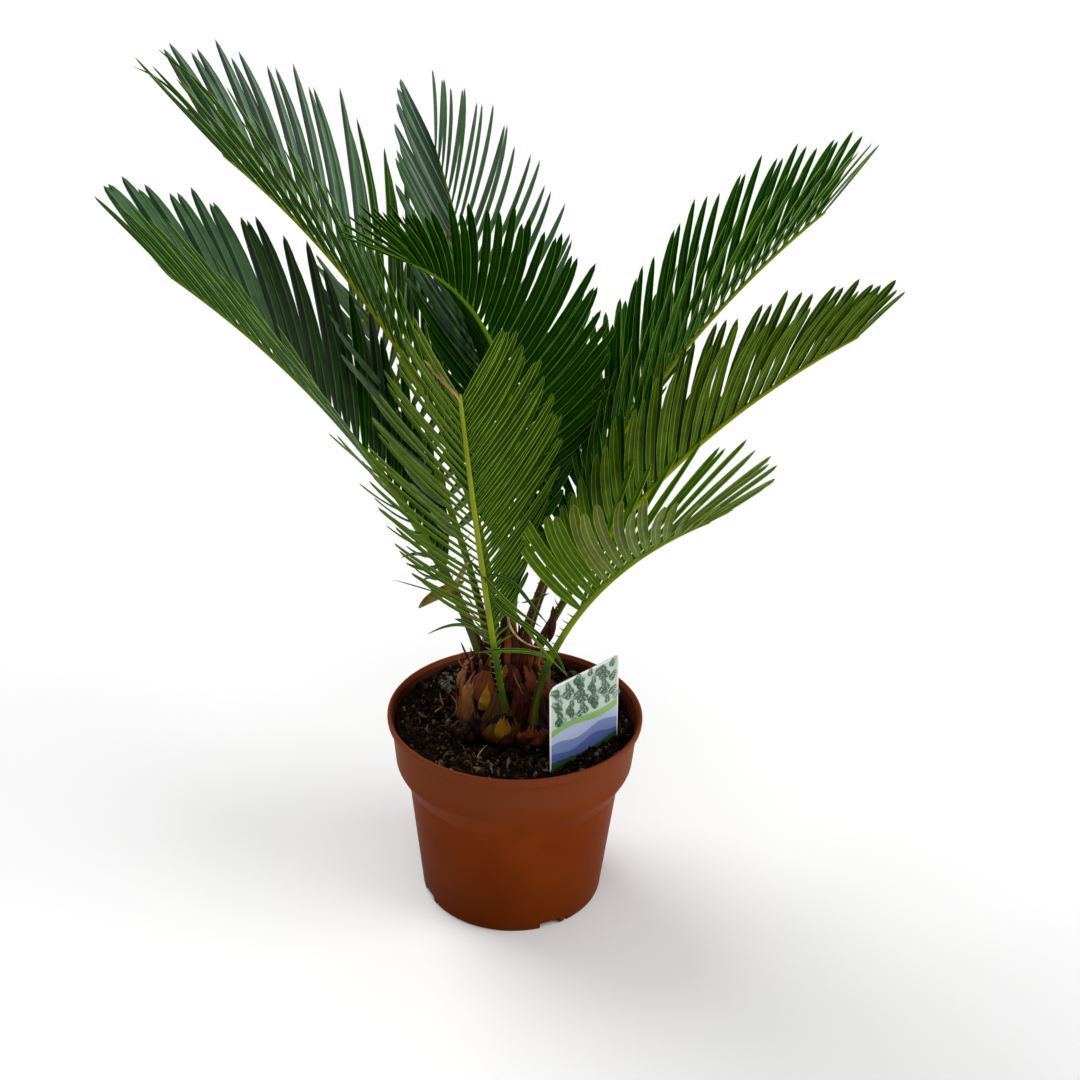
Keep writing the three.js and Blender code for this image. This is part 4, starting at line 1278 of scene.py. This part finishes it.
def leaflet_slots(count, tints):
    """Material numbers of every face of a frond's leaflets, and the tints they use. Each row's tints share
    out its leaflets from foot to tip. The half of an upper face nearer the frond's foot has painted light,
    the other half painted shade."""
    used = sorted({tint for row in tints for tint in row})
    bands = np.array([LEAF_PARTS.index(band) for band in [*UPPER_BANDS, *LOWER_BANDS]])
    mirrored = np.array([LEAF_PARTS.index(band) for band in [*UPPER_BANDS[::-1], *LOWER_BANDS]])
    index = np.arange(count)
    left = index % 2
    share = (index + 0.5) / count
    first = np.empty(count, int)
    for row, listed in enumerate(tints):
        numbers = np.array([used.index(tint) for tint in listed])
        place = np.clip(len(listed) * share + 0.5 * scatter(index // 2, 0.37), 0, len(listed) - 1e-6)
        first = np.where(left == row, numbers[place.astype(int)] * len(LEAF_PARTS), first)
    each = np.where(left[:, None] == 1, mirrored, bands) + first[:, None]
    blade = np.tile(each, len(LEAFLET_PLACES) - 2).ravel()
    return np.concatenate([blade, each.ravel(), LEAF_PARTS.index("margin") + first]), used


def spine_surface(settings, frond, points, number):
    """Short forward-leaning thorns in two rows up the bare stretch of a rib, longer towards the leaflets."""
    count = max(3, round(frond["length"] * frond["bare"] / 7))
    index = np.repeat(np.arange(count), 2)
    row = np.tile([1.0, -1.0], count)
    share = (index + 0.5 + 0.25 * row) / count
    place = frond["bare"] * (0.12 + 0.88 * share)
    along, right, face = facing(frond, place)
    outward = row[:, None] * right * 0.85 + face * 0.5
    direction = unit(outward + along * 0.35)
    root = rib_point(points, place) + outward * rib_radius(settings, frond, place)[:, None] * 0.55
    lengths = 1.8 + 5.5 * share**2 + 1.2 * scatter(index, 0.4 + number * 0.1)
    return blades(
        root, direction, unit(np.cross(direction, along)), along * 0.2, 0 * along, lengths,
        0.42 + 0.2 * share, np.full(len(root), 0.4), np.array([0, 0.4, 1.0]), np.array([1, 0.8, 0.0]),
        np.array([[-1, 0], [0, 1], [1, 0], [0, -1]]),
    )


# Loose and dry leaves

# Each: look, half width in millimetres, roll at its ends in degrees, and its points as (column, row, y):
# where the picture shows them, and how far to the rear of the pot's middle. One end of each lies on a rib, a
# leaf base or the soil
STRAYS = [
    ("moss", 1.15, (10, -10),
     [(475, 653, -60), (495, 651, -63), (512, 650, -60), (530, 652, -50), (551, 660, -33)]),
    ("moss", 1.0, (24, 34), [(461, 550, -98), (491, 586, -92), (516, 610, -75), (541, 627, -60)]),
    ("olive", 1.35, (-10, 10), [(486, 585, -89), (525, 625, -60), (550, 647, -48), (567, 677, -45)]),
    ("fresh", 0.9, (20, 8), [(487, 592, -86), (526, 628, -58), (543, 650, -50), (567, 675, -47)]),
    ("deep", 1.0, (0, 20), [(483, 574, -94), (508, 580, -80), (530, 603, -62), (546, 622, -54)]),
    ("dry_beige", 0.6, (0, 60),
     [(514, 577, -64), (509, 610, -62), (512, 638, -56), (530, 642, -48), (555, 650, -35)]),
    ("dry_olive", 2.9, (20, -10), [(419, 608, -9), (438, 594, -7), (450, 588, -5), (464, 581, -4)]),
    ("dry_beige", 1.5, (0, 40), [(452, 583, -4), (460, 577, -5), (466, 566, -5), (472, 560, -4)]),
    ("tan", 0.45, (0, 0), [(453, 586, -3), (466, 596, -6), (475, 609, -4)]),
    ("tan", 0.45, (0, 40), [(463, 607, -3), (476, 617, -7), (487, 629, -6)]),
    ("dry_grey", 0.4, (0, 0), [(394, 580, -10), (432, 591, -7), (456, 599, -3)]),
    ("shade", 1.0, (0, 30), [(401, 558, -8), (416, 554, -7), (436, 557, -5), (456, 558, -4)]),
    ("deep", 0.9, (0, 0), [(423, 580, -6), (433, 576, -5), (446, 575, -3)]),
    ("moss", 0.9, (10, 10), [(428, 634, -18), (448, 626, -26), (468, 626, -42), (491, 636, -64)]),
    ("olive", 1.5, (0, 20), [(455, 619, -30), (470, 625, -42), (494, 646, -60)]),
    ("moss", 0.7, (0, 0), [(521, 603, 2), (536, 599, 3), (549, 593, 2)]),
    ("dry_dark", 0.6, (0, 0), [(471, 664, -4), (466, 654, -4), (461, 642, -4)]),
    ("tan", 0.6, (0, 90), [(471, 672, -14), (461, 664, -14), (459, 656, -13), (466, 652, -12)]),
    ("fresh", 0.5, (0, 0), [(492, 626, -70), (500, 619, -71), (507, 612, -70)]),
    ("fresh", 0.5, (0, 0), [(493, 638, -64), (502, 631, -65), (509, 625, -64)]),
    ("fresh", 0.5, (0, 0), [(495, 648, -58), (504, 639, -60), (513, 635, -58)]),
    ("fresh", 0.5, (0, 0), [(491, 634, -66), (482, 628, -67), (474, 620, -68)]),
    ("red", 2.6, (10, -20), [(513, 676, -14), (515, 652, -13), (511, 622, -10)]),
    ("red", 2.4, (-10, 20), [(522, 676, -13), (524, 650, -12), (529, 624, -10)]),
    ("orange", 1.9, (20, -10), [(507, 668, -16), (508, 646, -13), (510, 630, -10)]),
    ("orange", 1.8, (0, 30), [(529, 672, -14), (531, 652, -11), (527, 632, -8)]),
    ("orange", 1.5, (0, 40), [(513, 602, 2), (511, 586, 3), (511, 568, 4)]),
    ("tan", 1.6, (20, 60), [(543, 690, -14), (549, 672, -12), (547, 660, -9)]),
    ("red", 2.2, (0, 40), [(549, 642, -4), (553, 622, -4), (553, 606, -3)]),
    ("tan", 0.4, (0, 0), [(512, 668, -20), (517, 682, -24), (523, 694, -24)]),
    ("dry_beige", 1.0, (0, 70), [(424, 360, -153), (440, 378, -157), (456, 396, -159), (461, 404, -158)]),
    ("dry_dark", 0.6, (0, 0), [(134, 67, 2), (167, 86, 3), (200, 122, 4), (228, 158, 5)]),
    ("dry_dark", 0.6, (0, 0), [(187, 109, 2), (210, 132, 4), (228, 158, 5)]),
    ("deep", 0.9, (0, 0), [(159, 50, 1), (192, 78, 2), (224, 115, 3), (236, 166, 5)]),
    ("tan", 0.5, (0, 0), [(440, 692, 26), (441, 699, 20), (444, 706, 13)]),
    ("tan", 0.5, (0, 0), [(449, 694, 25), (456, 702, 16), (456, 711, 7), (453, 716, 3)]),
    ("dry_beige", 0.35, (0, 0), [(488, 744, -25), (482, 750, -30), (477, 758, -38)]),
    ("dry_brown", 1.1, (0, 30), [(449, 229, -38), (446, 262, -36), (448, 290, -33)]),
    ("mist", 2.6, (0, 12), [(317, 267, 80), (344, 293, 76), (374, 327, 67)]),
    ("dry_beige", 1.2, (0, 50), [(366, 312, 70), (372, 318, 69), (377, 330, 66)]),
]
STRAY_ROWS = 18


def stray_blade(half_width, rolls, places):
    """One closed blade through points seen in the picture. Its centre is the cubic in the share of length
    that fits them best; its breadth is sin(pi t)^0.55; its upper face looks to the camera but for the roll,
    which goes evenly from end to end. Returns rows x section points and their UV places."""
    given = seen_at(places)
    share = np.append(0, np.cumsum(np.linalg.norm(np.diff(given, axis=0), axis=1)))
    share = share / share[-1]
    powers = np.arange(min(4, len(given)))
    t = np.linspace(0, 1, STRAY_ROWS)
    fitted = np.linalg.lstsq(share[:, None] ** powers, given, rcond=None)[0]
    centre = t[:, None] ** powers @ fitted
    tangent = unit(np.gradient(centre, axis=0))
    across = unit(np.cross(tangent, np.array(CAMERA_PLACE) - centre))
    across = turned(across, tangent, np.radians(between(rolls, t)))
    out = np.cross(across, tangent)
    breadth = (np.sin(math.pi * np.clip(t, 0.012, 0.988)) ** 0.55)[:, None, None]
    wide = half_width * breadth * LEAFLET_SECTION[:, :1]
    high = min(0.5, half_width * 0.45) * breadth * LEAFLET_SECTION[:, 1:]
    points = centre[:, None] + across[:, None] * wide + out[:, None] * high
    uv = np.stack(np.broadcast_arrays(LEAFLET_SECTION[:, 0] / 2 + 0.5, t[:, None]), -1)
    return points, uv


class BuildStrays(bpy.types.Operator):
    """Make the loose, bent and dry leaves among the fronds"""
    bl_idname = "palm.strays"
    bl_label = "Loose leaves"

    def execute(self, context):
        looks = {name: grained(name) for name in GRAINED if name.startswith("dry_")}
        looks.update({name: bpy.data.materials[f"base_{name}"] for name in SHELL_LOOKS})
        tints = sorted({look for look, *_ in STRAYS if look in TINTS})
        for tint in tints:
            looks.update({(tint, part): bpy.data.materials[f"leaf_{tint}_{part}"] for part in LEAF_PARTS})
        order = list(looks)
        # Upper faces keep the leaflets' halves of painted shade and painted light
        bands = [*UPPER_BANDS, *LOWER_BANDS]
        kinds = np.array([[order.index((look, band) if look in tints else look) for band in bands]
                          for look, *_ in STRAYS])
        slots = np.concatenate([np.tile(kinds, STRAY_ROWS - 1).ravel(), np.repeat(kinds[:, 0], 2)])
        points, uv = zip(*(stray_blade(*row) for _, *row in STRAYS))
        around = len(LEAFLET_SECTION)
        cap = np.arange(around)
        ends = np.stack([cap[::-1], cap + (STRAY_ROWS - 1) * around])
        parts = (grid_faces(STRAY_ROWS, around, True), ends)
        faces = [repeated(part, len(STRAYS), STRAY_ROWS * around) for part in parts]
        make_piece("loose_leaves", points, faces, list(looks.values()), slots=slots, uv=uv)
        return {"FINISHED"}


# Label

def label_matrix():
    """Stands the card on its long edge: right along its foot, up its height and out of its printed face."""
    place = Matrix.Translation((LABEL_LEFT[0], LABEL_LEFT[1], SOIL_LEVEL))
    turn = Matrix.Rotation(math.radians(LABEL_TURN_DEG), 4, "Z")
    stand = Matrix.Rotation(math.pi / 2, 4, "X")
    lean = Matrix.Rotation(math.radians(LABEL_LEAN_DEG), 4, "Z")
    return np.array(place @ turn @ stand @ lean)


def plate(outline, back, front):
    """A flat outline given as (x, y), made a closed plate from back to front. Returns points and faces."""
    count = len(outline)
    points = np.vstack([np.column_stack([outline, np.full(count, level)]) for level in (back, front)])
    index = np.arange(count)
    after = (index + 1) % count
    sides = np.stack([index, after, after + count, index + count], -1)
    return points, [sides, index[None, ::-1], index[None] + count]


def card_piece(name, plates, colour, node=None):
    """Makes one piece of the label from plates laid on its card, in a colour that wanders a little."""
    points, faces, start = [], [], 0
    for corners, parts in plates:
        faces += [part + start for part in parts]
        points.append(corners)
        start += len(corners)
    place = label_matrix()
    points = np.vstack(points) @ place[:3, :3].T + place[:3, 3]
    look = mottled(f"{name}_ink", np.array(colour) * 0.94, colour, 120.0, 0.3, bump=0.0)
    make_piece(name, points, faces, [look], node=node, smooth=False)


def corner_arc(centre, radius, start_deg, end_deg, steps=5):
    """Points of an arc."""
    turn = np.radians(np.linspace(start_deg, end_deg, steps))
    return np.array(centre) + polar(radius, turn, 0)[:, :2]


def card_outline(left, right, bottom, top, radius):
    """A rectangle with round corners at its top."""
    return np.vstack([
        [[left, bottom], [right, bottom]],
        corner_arc((right - radius * 0.3, top - radius * 0.3), radius * 0.3, 0, 90),
        corner_arc((left + radius, top - radius), radius, 90, 180),
    ])


def wave_line(left, right, base, height, waves, phase, steps=22):
    """Points of a sine wave from left to right."""
    x = np.linspace(left, right, steps)
    turn = (x - left) / (right - left) * 2 * math.pi * waves + phase
    return np.stack([x, base + height * np.sin(turn)], -1)


def spun(points, degrees):
    """Points in the plane turned about the origin."""
    turn = math.radians(degrees)
    return points @ np.array([[math.cos(turn), -math.sin(turn)], [math.sin(turn), math.cos(turn)]]).T


def sprig(x, y, size, turn_deg):
    """Outlines of a simple sprig: pairs of pointed leaves up a short stalk, each bent by 0.16 sin(pi t)."""
    shapes = []
    t = np.linspace(0, 1, 6)
    for step in range(5):
        for side in (-1, 1):
            reach = size * (0.55 - 0.07 * step)
            line = np.stack([t, 0.16 * np.sin(math.pi * t)], -1) * reach
            back = np.stack([t[::-1], -0.16 * np.sin(math.pi * t[::-1])], -1)[1:-1] * reach
            leaf = spun(np.vstack([line, back]), 90 - side * 48) + [0, size * 0.2 * step]
            shapes.append(spun(leaf, turn_deg) + [x, y])
    return shapes


class BuildLabel(bpy.types.Operator):
    """Make the label's card and its printed shapes"""
    bl_idname = "palm.label"
    bl_label = "Label"

    def execute(self, context):
        front = LABEL_THICK / 2
        width, top = LABEL_WIDTH, LABEL_ABOVE
        card = plate(card_outline(0, width, -LABEL_BELOW, top, 4.5), -front, front)
        card_piece("label_card", [card], context.scene.palm_label.card, node="plant_label")

        left, right, low, middle = 0.9, width - 0.8, -2.0, 20.0
        edge = wave_line(left, right, middle + 4, 1.2, 1.0, 0.0)
        upper = np.vstack([[[right, top - 1.0], [left + 3.6, top - 1.0], [left, top - 4.8]], edge])
        card_piece("label_sky", [plate(upper, front, front + LABEL_INK)], linear(176, 190, 178))
        for layer, (label, colour) in enumerate((("pale", (118, 146, 122)), ("deep", (58, 92, 66)))):
            sprigs = []
            for row, column in np.ndindex(6, 9):
                number = 60 * layer + 9 * row + column
                x = left + 3.4 + 5.2 * column + 2.8 * scatter(number, 0.3) + (2.6 if row % 2 else 0)
                y = middle + 5.6 + 3.9 * row + 2.4 * scatter(number, 0.6)
                if x < right - 3.4:
                    sprigs += sprig(x, y, 5.8 + 2.2 * scatter(number, 0.8), 140 * scatter(number, 0.1))
            back = front + (1 + layer) * LABEL_INK
            plates = [plate(shape, back, back + LABEL_INK) for shape in sprigs]
            card_piece(f"label_sprigs_{label}", plates, linear(*colour))

        stripe = np.vstack([edge, wave_line(left, right, middle, 1.6, 1.0, 0.0)[::-1]])
        card_piece("label_stripe", [plate(stripe[::-1], front, front + LABEL_INK)], linear(128, 168, 92))
        for name, wave, layers, colour in (
            ("label_wave_0", (middle, 1.6, 1.0, 0.0), 1, (170, 182, 208)),
            ("label_wave_1", (middle - 6, 1.6, 1.5, 0.9), 2, (120, 134, 184)),
            ("label_wave_2", (middle - 12, 1.6, 1.5, 1.8), 3, (84, 98, 158)),
            ("label_base", (3.0, 1.4, 0.8, 2.0), 4.5, (38, 84, 48)),
        ):
            shape = np.vstack([[[left, low], [right, low]], wave_line(left, right, *wave)[::-1]])
            card_piece(name, [plate(shape, front, front + LABEL_INK * layers)], linear(*colour))
        back = [plate([[3, low], [width - 3, low], [width - 3, high], [3, high]], -front - LABEL_INK, -front)
                for low, high in ((40, 44), (6, 7.2), (12, 13.2))]
        card_piece("label_back", back, linear(74, 128, 76))
        return {"FINISHED"}


class BuildStage(bpy.types.Operator):
    """Make the floor, the lights and the camera"""
    bl_idname = "palm.stage"
    bl_label = "Stage"

    def execute(self, context):
        settings = context.scene.palm_stage
        scene = context.scene
        turns = np.linspace(0, 2 * math.pi, 96, endpoint=False)
        points = polar(FLOOR_RADIUS, turns, -FLOOR_GAP)
        mesh = bpy.data.meshes.new("floor")
        mesh.from_pydata(points.tolist(), [], [list(range(len(points)))])
        floor = bpy.data.objects.new("floor", mesh)
        scene.collection.objects.link(floor)
        pale = bpy.data.materials.new("floor_pale")
        pale.use_nodes = True
        shader = pale.node_tree.nodes["Principled BSDF"]
        shader.inputs["Base Color"].default_value = tone(settings.floor)
        shader.inputs["Roughness"].default_value = 0.9
        mesh.materials.append(pale)

        world = bpy.data.worlds.new("surroundings")
        world.use_nodes = True
        sky = world.node_tree.nodes["Background"]
        sky.inputs["Color"].default_value = (1, 1, 1, 1)
        sky.inputs["Strength"].default_value = settings.sky
        scene.world = world

        for name, place, strength in (
            ("left", (-0.8, 0.7, 1.1), settings.left),
            ("right", (1.2, -0.25, 0.5), settings.right),
            ("front", (0.1, -0.6, 1.4), settings.front),
        ):
            lamp = bpy.data.lights.new(name, "SUN")
            lamp.energy = strength
            lamp.angle = settings.spread
            lamp_object = bpy.data.objects.new(name, lamp)
            scene.collection.objects.link(lamp_object)
            out = unit(np.array(place))
            side = unit(np.cross([0, 0, 1.0], out))
            lamp_object.matrix_world = basis(side, np.cross(out, side), out, np.array(place))

        lens = bpy.data.cameras.new("camera")
        lens.sensor_width = SENSOR_MM
        lens.lens = FOCAL_SHARE * SENSOR_MM
        lens.clip_start = 0.01
        lens.clip_end = 50
        camera = bpy.data.objects.new("camera", lens)
        scene.collection.objects.link(camera)
        camera.matrix_world = basis(*camera_axes(), np.array(CAMERA_PLACE) * MM)
        scene.camera = camera
        scene.view_settings.view_transform = "Standard"
        return {"FINISHED"}


def basis(x, y, z, place):
    """A matrix with these axes and place."""
    matrix = np.identity(4)
    matrix[:3, 0], matrix[:3, 1], matrix[:3, 2], matrix[:3, 3] = x, y, z, place
    return Matrix(matrix.tolist())


class PalmPanel(bpy.types.Panel):
    """Lists the settings and the pieces in the sidebar"""
    bl_idname = "VIEW3D_PT_palm"
    bl_label = "Potted sago palm"
    bl_space_type = "VIEW_3D"
    bl_region_type = "UI"
    bl_category = "Palm"

    def draw(self, context):
        for attribute, kind in SETTINGS.items():
            box = self.layout.box()
            for key in kind.__annotations__:
                box.prop(getattr(context.scene, attribute), key)
        for operator in OPERATORS:
            self.layout.operator(operator.bl_idname)


SETTINGS = {
    "palm_pot": PotSettings,
    "palm_soil": SoilSettings,
    "palm_stem": StemSettings,
    "palm_frond": FrondSettings,
    "palm_label": LabelSettings,
    "palm_stage": StageSettings,
}
OPERATORS = [BuildStage, BuildPot, BuildSoil, BuildStem, BuildBulbs, BuildFronds, BuildStrays, BuildLabel]


def register():
    """Registers the settings, the operators and the panel."""
    for kind in [*SETTINGS.values(), *OPERATORS, PalmPanel]:
        bpy.utils.register_class(kind)
    for attribute, kind in SETTINGS.items():
        setattr(bpy.types.Scene, attribute, PointerProperty(type=kind))


def unregister():
    """Undoes register."""
    for attribute in SETTINGS:
        delattr(bpy.types.Scene, attribute)
    for kind in [PalmPanel, *reversed(OPERATORS), *reversed(list(SETTINGS.values()))]:
        bpy.utils.unregister_class(kind)


def main():
    """Builds every piece in order."""
    register()
    bpy.ops.palm.stage()
    bpy.ops.palm.pot()
    bpy.ops.palm.soil()
    bpy.ops.palm.stem()
    bpy.ops.palm.bulbs()
    bpy.ops.palm.fronds()
    bpy.ops.palm.strays()
    bpy.ops.palm.label()


if __name__ == "__main__":
    main()
